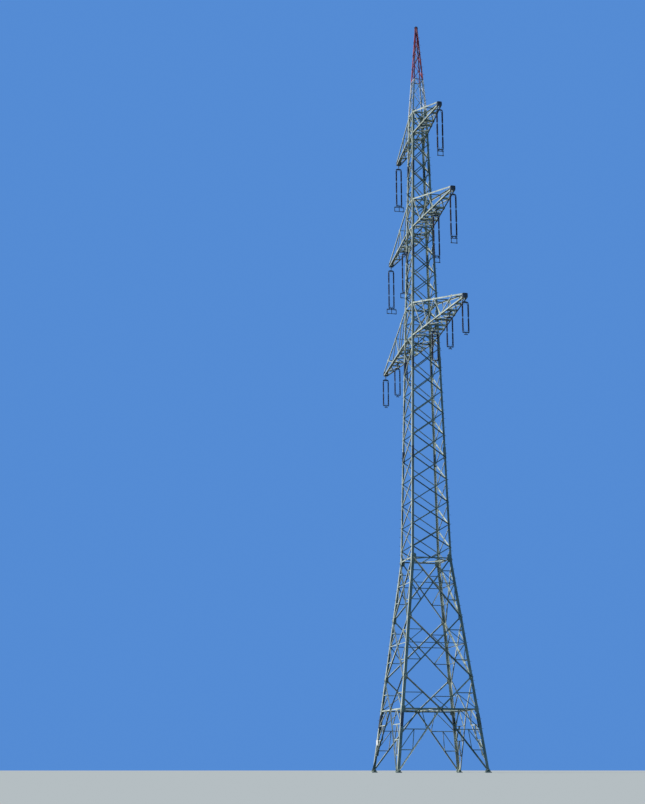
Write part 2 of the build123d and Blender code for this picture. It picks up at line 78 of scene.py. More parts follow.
class Side(Enum):
    """A place that the names of nodes tell."""

    @property
    def side(self) -> str:
        """The name as the nodes have it."""
        return self.name.lower()


class Quarter(Side):
    """One of four like places about Z, told by its quarter turns from the first."""

    def turned(self, point: Vector) -> Vector:
        """A point or direction at the first place, turned to this one."""
        return Matrix.Rotation(math.radians(90 * self.value), 3, "Z") @ point


class Face(Quarter):
    """The four flat faces of the body."""

    FRONT, RIGHT, BACK, LEFT = range(4)


class Corner(Quarter):
    """The four legs."""

    FRONT_LEFT, FRONT_RIGHT, BACK_RIGHT, BACK_LEFT = range(4)


class Half(Side):
    """The two halves of a cross-arm, with the way each reaches along Y."""

    FRONT = -1
    BACK = 1

    def turned(self, point: Vector) -> Vector:
        """A point or direction of the front half, turned to this half."""
        return Vector((-self.value * point.x, -self.value * point.y, point.z))


class Pick(Enum):
    """What a selection in edit mode is made of."""

    VERT, EDGE, FACE = range(3)


@dataclass(frozen=True)
class Steel:
    """A rolled angle with equal flanges."""

    flange: float
    thickness: float


@dataclass(frozen=True)
class BodyShape:
    """Heights, half widths and legs of the tower's body."""

    ring_z: float = 2.6
    lower_node_z: float = 3.95
    upper_node_z: float = 6.5
    waist_z: float = 9.05
    top_ring_z: float = 30.52
    red_z: float = 32.3
    tip_z: float = 35.2
    cap_height: float = 0.06
    base_half: float = 1.997
    waist_half: float = 0.905
    top_half: float = 0.362
    tip_half: float = 0.052
    lower_leg: Steel = Steel(0.12, 0.013)
    upper_leg: Steel = Steel(0.095, 0.01)
    white_leg: Steel = Steel(0.066, 0.006)
    red_leg: Steel = Steel(0.05, 0.006)
    foot_steel: float = 0.024
    anchor_spacing: float = 0.18
    waist_half_panel: float = 0.5
    ring_half_panel: float = 0.56
    shaft_panels: int = 9
    upper_panels: int = 3
    arm_panels: int = 2
    peak_white_panels: int = 2
    peak_red_panels: int = 4

    def half(self, z: float) -> float:
        """Half width out to the faces of the legs at a height."""
        stops = [(0.0, self.base_half), (self.waist_z, self.waist_half), (self.top_ring_z, self.top_half),
                 (self.tip_z - self.cap_height, self.tip_half)]
        for (low, wide), (high, narrow) in zip(stops, stops[1:]):
            if z <= high:
                return wide + (narrow - wide) * (z - low) / (high - low)
        return self.tip_half

    def slope(self, z: float) -> float:
        """How much the half width shrinks for each metre up."""
        step = 0.01
        return (self.half(z - step) - self.half(z)) / step

    def leg(self, z: float) -> Steel:
        """The angle that the legs are made of at a height."""
        if z <= self.waist_z:
            return self.lower_leg
        if z <= self.top_ring_z:
            return self.upper_leg
        return self.white_leg if z < self.red_z else self.red_leg

    def heel(self, z: float, flange: float, cover: float = 0.0) -> Vector:
        """The middle of the front flange of an angle over the front left leg.

        Args:
            z: The height.
            flange: The angle's flange.
            cover: How far outside the leg it lies.

        Returns:
            The point on the flange's outer face.
        """
        half = self.half(z) + cover
        return Vector((-half + flange / 2, -half, z))


@dataclass(frozen=True)
class ArmShape:
    """One level of cross-arms: its heights, phases and the nodes of its webs."""

    name: str
    low: float
    depth: float
    phases: tuple[float, ...]
    places: tuple[str, ...]
    first_node: float
    webs: tuple[Pair, ...]
    floor_bars: tuple[float, ...]
    rods: int
    twin: bool
    tip_half: float = 0.07
    tip_depth: float = 0.13
    tip_length: float = 0.09
    pin_drop: float = 0.07
    chord: Steel = Steel(0.062, 0.007)
    floor_bar: Steel = Steel(0.075, 0.006)
    carrier: Steel = Steel(0.046, 0.005)
    web: Steel = Steel(0.034, 0.004)
    floor_brace: Steel = Steel(0.034, 0.0035)
    long_bay: float = 1.2

    @property
    def pin_z(self) -> float:
        """The height of the pins that the sets hang on."""
        return self.low - self.carrier.flange / 2 - self.pin_drop


def between(start: Pair, end: Pair, share: float) -> Pair:
    """The point that lies a share of the way from one point to another."""
    return start[0] + (end[0] - start[0]) * share, start[1] + (end[1] - start[1]) * share


def bars_about(phases: tuple[float, ...], offset: float) -> tuple[float, ...]:
    """The floor bars on both sides of an arm's inner phases."""
    return tuple(out + side for out in phases[:-1] for side in (-offset, offset))


def bottom_arm() -> ArmShape:
    """The bottom level, with three phases on each half."""
    phases = (2.025, 4.15, 6.275)
    bars = bars_about(phases, 0.28)
    peak, last = (bars[1] + bars[2]) / 2, (bars[2] + phases[-1]) / 2
    webs = ((bars[0], bars[1]), (peak, bars[1]), (peak, bars[2]), (last, bars[2]))
    return ArmShape("bottom", 19.25, 1.6, phases, ("inner", "middle", "tip"), bars[0], webs, bars, 2, False)


def middle_arm() -> ArmShape:
    """The middle level, with two phases on each half."""
    phases, first, second = (2.55, 5.025), 1.4, 1.75
    bars = bars_about(phases, 0.35)
    peak = (second + bars[1]) / 2
    webs = ((peak, second), (peak, bars[1]))
    return ArmShape("middle", 24.6, 1.4, phases, ("inner", "tip"), first, webs, (first, *bars), 3, True)


def top_arm() -> ArmShape:
    """The top level, with one phase on each half."""
    first, second = 1.25, 1.75
    return ArmShape("top", 29.4, 1.12, (3.4,), ("tip",), first, ((second, second),), (first, second), 3, True)


BODY = BodyShape()
ARMS = (bottom_arm(), middle_arm(), top_arm())


@contextmanager
def modelled(add: Callable[..., set], smooth: bool, **sizes) -> Iterator[None]:
    """Adds a primitive and keeps it in edit mode until the block ends.

    Args:
        add: The operator that adds it.
        smooth: True if its round sides are smoothed at the end.
        **sizes: What the operator takes.
    """
    bpy.ops.object.select_all(action="DESELECT")
    add(**sizes)
    bpy.ops.object.transform_apply(location=True, rotation=True, scale=True)
    bpy.ops.object.mode_set(mode="EDIT")
    yield
    bpy.ops.object.mode_set(mode="OBJECT")
    if smooth:
        bpy.ops.object.shade_smooth_by_angle(angle=SMOOTH_ANGLE)


def box(size: Triple, at: Triple = ORIGIN) -> AbstractContextManager:
    """A box about a point, open for editing."""
    return modelled(bpy.ops.mesh.primitive_cube_add, False, size=1, scale=size, location=at)


def cylinder(sides: int, radius: float, length: float, at: Triple = ORIGIN, turn: Triple = ORIGIN,
             smooth: bool = False) -> AbstractContextManager:
    """A cylinder about a point, open for editing."""
    return modelled(bpy.ops.mesh.primitive_cylinder_add, smooth, vertices=sides, radius=radius, depth=length,
                    location=at, rotation=turn)


def pick(kind: Pick, chosen: Callable[..., bool]) -> None:
    """Selects, in edit mode, just the parts of the open mesh that pass a test.

    Args:
        kind: What is selected.
        chosen: A test that takes a vertex, an edge or a face.
    """
    data = bpy.context.object.data
    mesh = bmesh.from_edit_mesh(data)
    bpy.ops.mesh.select_mode(type=kind.name)
    bpy.ops.mesh.select_all(action="DESELECT")
    for part in (mesh.verts, mesh.edges, mesh.faces)[kind.value]:
        part.select = bool(chosen(part))
    mesh.select_flush_mode()
    bmesh.update_edit_mesh(data)


def pick_top() -> None:
    """Selects the faces that look up."""
    pick(Pick.FACE, lambda face: face.normal.z > 0.9)


def pick_all() -> None:
    """Selects the whole open mesh."""
    bpy.ops.mesh.select_all(action="SELECT")


def pull(z: float, x: float = 0.0, y: float = 0.0) -> None:
    """Extrudes what is selected."""
    bpy.ops.mesh.extrude_region_move(TRANSFORM_OT_translate={"value": (x, y, z)})


def resize(x: float, y: float, z: float, height: float = 0.0) -> None:
    """Scales what is selected about a point on the Z axis."""
    bpy.ops.transform.resize(value=(x, y, z), center_override=(0, 0, height))


def sink(width: float, depth: float) -> None:
    """Leaves a margin round each selected face and moves the rest in."""
    bpy.ops.mesh.inset(thickness=width, depth=-depth, use_individual=True)


def cut(point: Triple, normal: Vector, **options) -> None:
    """Cuts the whole open mesh along a plane."""
    pick_all()
    bpy.ops.mesh.bisect(plane_co=point, plane_no=normal, **options)


def close_up() -> None:
    """Turns all the faces of the open mesh outwards."""
    pick_all()
    bpy.ops.mesh.normals_make_consistent(inside=False)


def laid(start: Vector, end: Vector, inward: Vector) -> Matrix:
    """Where a member lies between two points.

    Args:
        start: The middle of the member's flat flange at its first end.
        end: The same at its other end.
        inward: The way that the outstanding flange points.

    Returns:
        A matrix that takes a blank one metre long along Z to that place.
    """
    along = end - start
    axis = along.normalized()
    inward = (inward - axis * inward.dot(axis)).normalized()
    place = Matrix((inward.cross(axis), inward, along)).transposed().to_4x4()
    place.translation = start
    return place


def standing(point: Vector, outward: Vector, across: Vector) -> Matrix:
    """Where a blank that lies in the XY plane goes.

    Args:
        point: Where its origin goes.
        outward: Where its Z points.
        across: Roughly where its X points.

    Returns:
        A matrix without any stretch.
    """
    outward = outward.normalized()
    across = (across - outward * across.dot(outward)).normalized()
    place = Matrix((across, outward.cross(across), outward)).transposed().to_4x4()
    place.translation = point
    return place


class Workshop:
    """Models each kind of blank once, by hand tools, and keeps it for copying."""

    def __init__(self) -> None:
        """Starts with no blanks."""
        self.blanks: dict[tuple, bpy.types.Object] = {}

    def kept(self, model: Callable[..., None], *key) -> bpy.types.Object:
        """A blank, modelled the first time it is asked for.

        Args:
            model: A function that models it and leaves it active, given what follows the kind in the key.
            *key: The kind of blank, and the sizes that tell it from others of its kind.

        Returns:
            The blank's object.
        """
        if key not in self.blanks:
            model(*key[1:])
            self.blanks[key] = bpy.context.object
        return self.blanks[key]

    def angle(self, steel: Steel) -> bpy.types.Object:
        """A rolled angle one metre long, whose flat flange lies on Y = 0."""
        return self.kept(self.model_angle, "angle", steel)

    def plate(self, width: float, height: float, thickness: float) -> bpy.types.Object:
        """A plate with clipped corners, its back on Z = 0."""
        return self.kept(self.model_plate, "plate", width, height, thickness)

    def bolt(self, size: float) -> bpy.types.Object:
        """A bolt's head on its washer, seated on Z = 0."""
        return self.kept(self.model_bolt, "bolt", size)

    def model_angle(self, steel: Steel) -> None:
        """Extrudes the outstanding flange out of a flat bar."""
        heel = -steel.flange / 2 + steel.thickness
        with box((steel.flange, steel.thickness, 1), (0, steel.thickness / 2, 0.5)):
            cut((heel, 0, 0), X)
            pick(Pick.FACE, lambda face: face.normal.y > 0.9 and face.calc_center_median().x < heel)
            pull(0, y=steel.flange - steel.thickness)

    def model_plate(self, width: float, height: float, thickness: float) -> None:
        """Clips the four corners off a flat plate."""
        with box((width, height, thickness), (0, 0, thickness / 2)):
            pick(Pick.EDGE, lambda edge: abs(edge.verts[0].co.z - edge.verts[1].co.z) > thickness / 2)
            bpy.ops.mesh.bevel(offset=min(width, height) * 0.28, segments=1)

    def model_bolt(self, size: float) -> None:
        """Raises a chamfered six-sided head out of a washer."""
        with cylinder(6, size, size * 0.2, (0, 0, size * 0.1)):
            pick_top()
            bpy.ops.mesh.inset(thickness=size * 0.14, depth=0)
            pull(size * 0.6)
            bpy.ops.mesh.inset(thickness=size * 0.12, depth=size * 0.08)

    def tidy(self) -> None:
        """Takes the blanks away once all the copies are made."""
        for blank in self.blanks.values():
            bpy.data.objects.remove(blank, do_unlink=True)
        self.blanks.clear()


SHOP = Workshop()


@dataclass
class Piece:
    """Copies of blanks that are joined into one piece of the part."""

    name: str
    slot: Slot
    body: str = TOWER
    replaced: tuple[str, ...] = ()
    parts: list[bpy.types.Object] = field(default_factory=list)

    def add(self, blank: bpy.types.Object, place: Matrix) -> None:
        """Sets a copy of a blank, with its own mesh, at a place.

        Args:
            blank: What is copied.
            place: Where it goes, which may stretch it.
        """
        copy = blank.copy()
        copy.data = blank.data.copy()
        copy.data.transform(place)
        bpy.context.collection.objects.link(copy)
        self.parts.append(copy)

    def own(self, obj: bpy.types.Object) -> None:
        """Takes in an object that is already in its place."""
        self.parts.append(obj)

    def member(self, steel: Steel, start: Vector, end: Vector, inward: Vector, lift: float = 0.0) -> None:
        """Lays an angle between two points.

        Args:
            steel: The angle's section.
            start: The first end of its middle line.
            end: The other end.
            inward: The way that its outstanding flange points.
            lift: How far it is moved that way.
        """
        shift = inward.normalized() * lift
        self.add(SHOP.angle(steel), laid(start + shift, end + shift, inward))

    def bolt(self, size: float, seat: Vector, outward: Vector, across: Vector) -> None:
        """Seats one bolt's head."""
        self.add(SHOP.bolt(size), standing(seat, outward, across))

    def plate(self, size: Triple, seat: Vector, outward: Vector, across: Vector) -> None:
        """Lays a plate with its back on a seat."""
        self.add(SHOP.plate(*size), standing(seat, outward, across))

    def bolts(self, start: Vector, end: Vector, outward: Vector, lift: float, size: float = 0.009) -> None:
        """Sets two bolts at each end of a member.

        Args:
            start: The first end of the member's middle line.
            end: The other end.
            outward: The way that the heads face.
            lift: How far out their seat lies.
            size: Half the width of a head.
        """
        along = (end - start).normalized()
        for tip, way in ((start, along), (end, -along)):
            for reach in (0.012, 0.045):
                self.bolt(size, tip + way * reach + outward.normalized() * lift, outward, along)

    def finish(self) -> bpy.types.Object:
        """Joins the copies and ties the piece to its body, slot and nodes.

        Returns:
            The finished object.
        """
        bpy.ops.object.select_all(action="DESELECT")
        for part in self.parts:
            part.select_set(True)
        bpy.context.view_layer.objects.active = self.parts[0]
        if len(self.parts) > 1:
            bpy.ops.object.join()
        piece = bpy.context.object
        piece.name = piece.data.name = self.name
        piece.data.materials.clear()
        piece.data.materials.append(FINISHES[self.slot])
        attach(piece, self.body)
        if self.replaced:
            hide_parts(*self.replaced)
        LOG.info("%s: %d faces on %s", self.name, len(piece.data.polygons), self.body)
        return piece


class NodeTree:
    """A material's node tree, written a node at a time."""

    def __init__(self, name: str) -> None:
        """Starts a material with its shader and its object coordinates."""
        self.material = bpy.data.materials.new(name)
        self.material.use_nodes = True
        self.tree = self.material.node_tree
        self.tree.nodes.clear()
        self.shader = self.tree.nodes.new("ShaderNodeBsdfPrincipled")
        self.add("ShaderNodeOutputMaterial", {"Surface": self.shader.outputs["BSDF"]})
        self.place = self.tree.nodes.new("ShaderNodeTexCoord").outputs["Object"]

    def feed(self, node: bpy.types.Node, values: dict) -> None:
        """Sets sockets of a node to values, or joins them to other sockets.

        Args:
            node: The node.
            values: A number, a colour or a socket for the name of each.
        """
        for name, value in values.items():
            if isinstance(value, Socket):
                self.tree.links.new(value, node.inputs[name])
            else:
                node.inputs[name].default_value = value

    def add(self, kind: str, values: dict) -> bpy.types.Node:
        """Adds a node and feeds it.

        Args:
            kind: Its type.
            values: What its sockets are set or joined to.

        Returns:
            The node.
        """
        node = self.tree.nodes.new(kind)
        self.feed(node, values)
        return node

    def noise(self, scale: float, detail: float, stretch: Triple = (1, 1, 1)) -> Socket:
        """A noise over the object.

        Args:
            scale: Its waves in a metre, roughly.
            detail: How many finer layers it has.
            stretch: How each axis is scaled first.

        Returns:
            The socket with its value.
        """
        mapping = self.add("ShaderNodeMapping", {"Vector": self.place, "Scale": stretch})
        noise = self.add("ShaderNodeTexNoise",
                         {"Vector": mapping.outputs["Vector"], "Scale": scale, "Detail": detail})
        return noise.outputs["Fac"]

    def ramp(self, source: Socket, low: float, high: float, bottom: float = 0.0,
             top: float = 1.0) -> Socket:
        """Maps a range of a value to another, with the ends held.

        Args:
            source: The socket with the value.
            low: What becomes bottom.
            high: What becomes top.
            bottom: The result's lower end.
            top: Its upper end.

        Returns:
            The socket with the result.
        """
        values = {"Value": source, "From Min": low, "From Max": high, "To Min": bottom, "To Max": top}
        return self.add("ShaderNodeMapRange", values).outputs["Result"]

    def mix(self, share: Socket, base: Socket | Triple, over: Socket | Triple) -> Socket:
        """Lays one colour over another.

        Args:
            share: The socket that says how much of the second shows.
            base: A colour or the socket with one.
            over: The same for the second.

        Returns:
            The socket with the mixed colour.
        """
        node = self.add("ShaderNodeMix", {"Factor": share})
        node.data_type = "RGBA"
        for name, colour in (("A", base), ("B", over)):
            target = next(s for s in node.inputs if s.name == name and s.type == "RGBA")
            if isinstance(colour, tuple):
                target.default_value = (*colour, 1)
            else:
                self.tree.links.new(colour, target)
        return next(s for s in node.outputs if s.type == "RGBA")

    def bump(self, height: Socket, strength: float, distance: float) -> None:
        """Roughens the surface by a height.

        Args:
            height: The socket with the height.
            strength: How much of it shows.
            distance: How high it is, in metres.
        """
        node = self.add("ShaderNodeBump", {"Height": height, "Strength": strength, "Distance": distance})
        self.feed(self.shader, {"Normal": node.outputs["Normal"]})

    def finished(self, values: dict) -> bpy.types.Material:
        """The material, once its shader is fed."""
        self.feed(self.shader, values)
        return self.material


@dataclass(frozen=True)
class WeatheredPaint:
    """Paint on rolled steel that has stood outside for years."""

    name: str
    paint: Triple
    chalked: Triple
    grime: Triple = (0.07, 0.09, 0.085)
    rust: Triple = (0.24, 0.10, 0.045)
    grime_from: float = 0.56
    rust_from: float = 0.69

    def material(self) -> bpy.types.Material:
        """Builds the finish: chalked patches, dark streaks that run down, and specks of rust."""
        nodes = NodeTree(self.name)
        patches = nodes.ramp(nodes.noise(1.7, 5), 0.35, 0.65)
        runs = nodes.noise(9.0, 6, (1, 1, 0.12))
        streaks = nodes.ramp(runs, self.grime_from, self.grime_from + 0.2, 0, 0.75)
        specks = nodes.ramp(nodes.noise(38.0, 4), self.rust_from, self.rust_from + 0.05, 0, 0.85)
        colour = nodes.mix(patches, self.paint, self.chalked)
        colour = nodes.mix(streaks, colour, self.grime)
        colour = nodes.mix(specks, colour, self.rust)
        grain = nodes.noise(160.0, 3)
        nodes.bump(grain, 0.25, 0.002)
        return nodes.finished({"Base Color": colour, "Roughness": nodes.ramp(grain, 0.3, 0.7, 0.6, 0.85),
                               "Specular IOR Level": 0.12})


@dataclass(frozen=True)
class DullZinc:
    """Hot-dipped zinc that has gone dull."""

    name: str
    zinc: Triple
    stain: Triple

    def material(self) -> bpy.types.Material:
        """Builds the finish: a fine spangle under darker stains."""
        nodes = NodeTree(self.name)
        light = tuple(min(1.0, value * 1.35) for value in self.zinc)
        colour = nodes.mix(nodes.ramp(nodes.noise(55.0, 2), 0.4, 0.6, 0, 0.5), self.zinc, light)
        colour = nodes.mix(nodes.ramp(nodes.noise(6.0, 6, (1, 1, 0.4)), 0.48, 0.7, 0, 0.8), colour, self.stain)
        grain = nodes.noise(190.0, 3)
        nodes.bump(grain, 0.2, 0.001)
        return nodes.finished({"Base Color": colour, "Roughness": nodes.ramp(grain, 0.3, 0.7, 0.42, 0.7),
                               "Metallic": 0.35})


@dataclass(frozen=True)
class BrownGlaze:
    """Glazed porcelain with some dust in the sheds."""

    name: str
    glaze: Triple
    fired: Triple
    dust: Triple

    def material(self) -> bpy.types.Material:
        """Builds the finish: two browns of one firing, glossy but for the dust."""
        nodes = NodeTree(self.name)
        most = 0.45
        dusty = nodes.ramp(nodes.noise(16.0, 6), 0.5, 0.75, 0, most)
        colour = nodes.mix(nodes.ramp(nodes.noise(4.0, 4), 0.35, 0.65), self.glaze, self.fired)
        nodes.bump(nodes.noise(70.0, 2), 0.08, 0.001)
        return nodes.finished({"Base Color": nodes.mix(dusty, colour, self.dust),
                               "Roughness": nodes.ramp(dusty, 0, most, 0.36, 0.65),
                               "Specular IOR Level": 0.3, "Coat Weight": 0.1, "Coat Roughness": 0.25})


FINISHES: dict[Slot, bpy.types.Material] = {}


def make_finishes() -> None:
    """Builds the five finishes of the record's slots."""
    made = {
        Slot.LATTICE: WeatheredPaint("grey_green_paint", (0.39, 0.45, 0.41), (0.64, 0.69, 0.61)),
        Slot.PEAK_WHITE: WeatheredPaint("white_paint", (0.86, 0.87, 0.87), (0.80, 0.82, 0.83),
                                        grime=(0.46, 0.47, 0.47), grime_from=0.66, rust_from=0.78),
        Slot.PEAK_RED: WeatheredPaint("red_paint", (0.56, 0.10, 0.12), (0.70, 0.32, 0.35),
                                      grime=(0.24, 0.06, 0.08), grime_from=0.62, rust_from=0.78),
        Slot.FITTINGS: DullZinc("dull_zinc", (0.10, 0.112, 0.122), (0.04, 0.044, 0.05)),
        Slot.INSULATORS: BrownGlaze("brown_glaze", (0.034, 0.013, 0.017), (0.056, 0.023, 0.026),
                                    (0.075, 0.062, 0.064)),
    }
    for slot, finish in made.items():
        FINISHES[slot] = finish.material()


def dress_kept_nodes() -> None:
    """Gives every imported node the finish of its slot."""
    slots = {part["node"]: part["material_slot"] for part in frame["record"]["subparts"]}
    for name, node in frame["nodes"].items():
        node.data.materials.clear()
        node.data.materials.append(FINISHES[Slot(slots[name])])


@dataclass
class BodyFace:
    """One flat face of the tower's body, whose bars lie on two layers of the legs' flanges."""

    face: Face
    piece: Piece
    plate_steel: float = 0.006
    gusset_bolts: tuple[float, ...] = (-0.36, -0.12, 0.12, 0.36)

    def point(self, x: float, z: float) -> Vector:
        """A point on the outer faces of the legs, given across and up."""
        return self.face.turned(Vector((x, -BODY.half(z), z)))

    def outward(self, z: float) -> Vector:
        """The way that the face looks at a height."""
        return self.face.turned(Vector((0, -1, BODY.slope(z)))).normalized()

    def leg(self, sign: int, z: float) -> Pair:
        """The place on a leg's middle line where bars meet."""
        return sign * (BODY.half(z) - BODY.leg(z).flange / 2), z

    def bar(self, steel: Steel, start: Pair, end: Pair, outer: bool = False, behind: float = 0.0) -> None:
        """Lays a bolted angle on the face.

        Args:
            steel: Its section.
            start: One end, given across and up.
            end: The other end.
            outer: True if it lies outside the legs' flanges, not inside.
            behind: How far behind the inner layer it lies.
        """
        middle_z = (start[1] + end[1]) / 2
        outward = self.outward(middle_z)
        ends = self.point(*start), self.point(*end)
        if outer:
            self.piece.member(steel, *ends, outward)
        else:
            self.piece.member(steel, *ends, -outward, BODY.leg(middle_z).thickness + behind)
        self.piece.bolts(*ends, outward, steel.thickness if outer else 0.0)

    def level(self, steel: Steel, z: float, behind: float = 0.0) -> None:
        """Lays a level bar from leg to leg."""
        self.bar(steel, self.leg(-1, z), self.leg(1, z), behind=behind)

    def row(self, steel: Steel, low: float, high: float, count: int = 1) -> None:
        """Lays equal crossed panels one above another, with a diagonal on each layer.

        Args:
            steel: The diagonals' section.
            low: Where the lowest panel begins.
            high: Where the highest ends.
            count: How many there are.
        """
        pitch = (high - low) / count
        for panel in range(count):
            bottom, top = low + panel * pitch, low + (panel + 1) * pitch
            self.bar(steel, self.leg(1, bottom), self.leg(-1, top), outer=True)
            self.bar(steel, self.leg(1, top), self.leg(-1, bottom))

    def gussets(self, z: float, width: float, height: float) -> None:
        """Bolts a gusset plate over the flange of each leg.

        Args:
            z: The height of their middles.
            width: Their width.
            height: Their height.
        """
        outward, across = self.outward(z), self.face.turned(X)
        for sign in SIDES:
            centre = self.point(sign * (BODY.half(z) - width * 0.5), z)
            self.piece.plate((width, height, self.plate_steel), centre, outward, across)
            for step in self.gusset_bolts:
                level = z + step * height
                seat = self.point(sign * (BODY.half(level) - width * 0.3), level)
                self.piece.bolt(0.01, seat + outward * self.plate_steel, outward, across)

    def node_plate(self, z: float, width: float, height: float) -> None:
        """Bolts a plate behind a node in the middle of the face.

        Args:
            z: Its height.
            width: Its width.
            height: Its height from edge to edge.
        """
        outward, across = self.outward(z), self.face.turned(X)
        seat = self.point(0.0, z) - outward * (BODY.leg(z).thickness + 0.001)
        self.piece.plate((width, height, self.plate_steel), seat, outward, across)
        for step in (-0.3, 0.3):
            for rise in (-0.25, 0.25):
                bolt = self.point(step * width, z + rise * height) + outward * 0.004
                self.piece.bolt(0.009, bolt, outward, across)


@dataclass
class LowerFace(BodyFace):
    """A face from the feet to the waist."""

    rungs: int = 2
    brace: Steel = Steel(0.058, 0.006)
    redundant: Steel = Steel(0.034, 0.004)
    gusset_size: Pair = (0.17, 0.3)
    foot_reach: float = 0.06

    def foot_panel(self) -> None:
        """Lays the inverted V, the braces above it, the rungs and the short bars between them."""
        ring = (0.0, BODY.ring_z)
        self.level(self.brace, BODY.ring_z)
        for sign in SIDES:
            foot = self.leg(sign, BODY.foot_steel + self.foot_reach)
            top = self.leg(sign, BODY.lower_node_z)
            self.bar(self.brace, ring, top, outer=True)
            self.bar(self.brace, foot, ring, outer=True)
            half = between(ring, top, 0.5)
            self.bar(self.redundant, self.leg(sign, half[1]), half)
            self.bar(self.redundant, half, self.leg(sign, BODY.ring_z))
            above = between(ring, self.leg(sign, BODY.ring_z), 0.5)
            for rung in range(1, self.rungs + 1):
                inner = between(ring, foot, rung / (self.rungs + 1))
                outer = self.leg(sign, inner[1])
                self.bar(self.redundant, inner, outer)
                self.bar(self.redundant, above, inner, behind=self.redundant.thickness)
                self.bar(self.redundant, above, outer, behind=self.redundant.thickness)
                above = between(inner, outer, 0.5)

    def big_panel(self, low: float, high: float) -> None:
        """Lays a wide crossed panel with the short bars in its quarters.

        Args:
            low: The height of its lower nodes.
            high: The height of its upper nodes.
        """
        wide, narrow = self.leg(1, low)[0], self.leg(1, high)[0]
        middle = low + (high - low) * wide / (wide + narrow)
        self.row(self.brace, low, high)
        self.node_plate(middle, 0.12, 0.12)
        self.level(self.redundant, middle, self.brace.thickness)
        for sign in SIDES:
            for end in (low, high):
                start = self.leg(sign, end)
                inner = start[0] / 2, (start[1] + middle) / 2
                self.bar(self.redundant, self.leg(sign, inner[1]), inner, behind=self.brace.thickness)
                self.bar(self.redundant, inner, self.leg(sign, middle), behind=self.brace.thickness)

    def build(self) -> None:
        """Lays every bar and gusset below the waist."""
        self.foot_panel()
        self.big_panel(BODY.lower_node_z, BODY.upper_node_z)
        self.big_panel(BODY.upper_node_z, BODY.waist_z)
        for z in (BODY.ring_z, BODY.lower_node_z, BODY.upper_node_z):
            self.gussets(z, *self.gusset_size)
        self.node_plate(BODY.ring_z, 0.26, 0.16)


@dataclass
class UpperFace(BodyFace):
    """A face from the waist to the foot of the peak."""

    brace: Steel = Steel(0.042, 0.0045)
    ring_bar: Steel = Steel(0.05, 0.005)
    ring_gusset: Pair = (0.12, 0.26)
    waist_gusset: Pair = (0.2, 0.36)

    def ring(self, z: float, gusset: Pair) -> None:
        """Lays a level bar, with a gusset of a width and height on each leg."""
        self.level(self.ring_bar, z)
        self.gussets(z, *gusset)

    def build(self) -> None:
        """Lays every bar and gusset from the waist up."""
        self.ring(BODY.waist_z + self.ring_bar.flange / 2, self.waist_gusset)
        below, half_panel, panels = BODY.waist_z, BODY.waist_half_panel, BODY.shaft_panels
        for arm in ARMS:
            low, high = below + half_panel, arm.low - BODY.ring_half_panel
            for sign in SIDES:
                self.bar(self.brace, (0.0, below), self.leg(sign, low), outer=sign < 0)
                self.bar(self.brace, (0.0, arm.low), self.leg(sign, high), outer=sign < 0)
            self.row(self.brace, low, high, panels)
            self.row(self.brace, arm.low, arm.low + arm.depth, BODY.arm_panels)
            self.ring(arm.low, self.ring_gusset)
            below = arm.low + arm.depth
            self.ring(below - self.ring_bar.flange / 2, self.ring_gusset)
            half_panel, panels = BODY.ring_half_panel, BODY.upper_panels


@dataclass
class PlanBracing:
    """The level frames inside the body's rings."""

    steel: Steel = Steel(0.044, 0.005)
    waist_rise: float = 0.025
    upper_drop: float = 0.03

    def diamond(self, piece: Piece, z: float) -> list[Vector]:
        """Links the middles of the four sides at a height.

        Args:
            piece: What the bars belong to.
            z: The height.

        Returns:
            The four middles.
        """
        reach = BODY.half(z) - BODY.leg(z).thickness - self.steel.thickness
        middles = [face.turned(Vector((0, -reach, z))) for face in Face]
        for middle, following in zip(middles, middles[1:] + middles[:1]):
            piece.member(self.steel, middle, following, Z)
        return middles

    def build(self) -> None:
        """Lays the frames of all the rings, and two more bars that cross in the lowest."""
        piece = Piece("plan_bracing_angles", Slot.LATTICE, replaced=("plan_bracing",))
        front, right, back, left = self.diamond(piece, BODY.ring_z)
        piece.member(self.steel, front, back, Z, self.steel.thickness)
        piece.member(self.steel, right, left, Z, 2 * self.steel.thickness)
        self.diamond(piece, BODY.waist_z + self.waist_rise)
        for arm in ARMS:
            self.diamond(piece, arm.low)
            self.diamond(piece, arm.low + arm.depth - self.upper_drop)
        piece.finish()


@dataclass
class ClimbingBolts:
    """Round-headed bolts to climb by, which stand out of both flanges of a leg in turn."""

    corner: Corner
    pitch: float = 0.2
    radius: float = 0.006
    length: float = 0.07
    head: float = 0.006

    def model_step(self) -> None:
        """Draws a climbing bolt out to its round head."""
        with cylinder(8, self.radius, self.length, (0, 0, self.length / 2)):
            pick_top()
            pull(0)
            resize(1.9, 1.9, 1, self.length)
            pull(self.head)

    def set_bolts(self, piece: Piece, low: float, high: float) -> None:
        """Sets the bolts between two heights.

        Args:
            piece: What they belong to.
            low: Where the lowest one is.
            high: Where they end.
        """
        for count in range(int((high - low) / self.pitch)):
            z = low + count * self.pitch
            half, line = BODY.half(z), BODY.leg(z).flange * 0.45
            outward, seat = (-Y, (-half + line, -half, z)) if count % 2 else (-X, (-half, -half + line, z))
            piece.add(SHOP.kept(self.model_step, "step"),
                      standing(self.corner.turned(Vector(seat)), self.corner.turned(outward), Z))


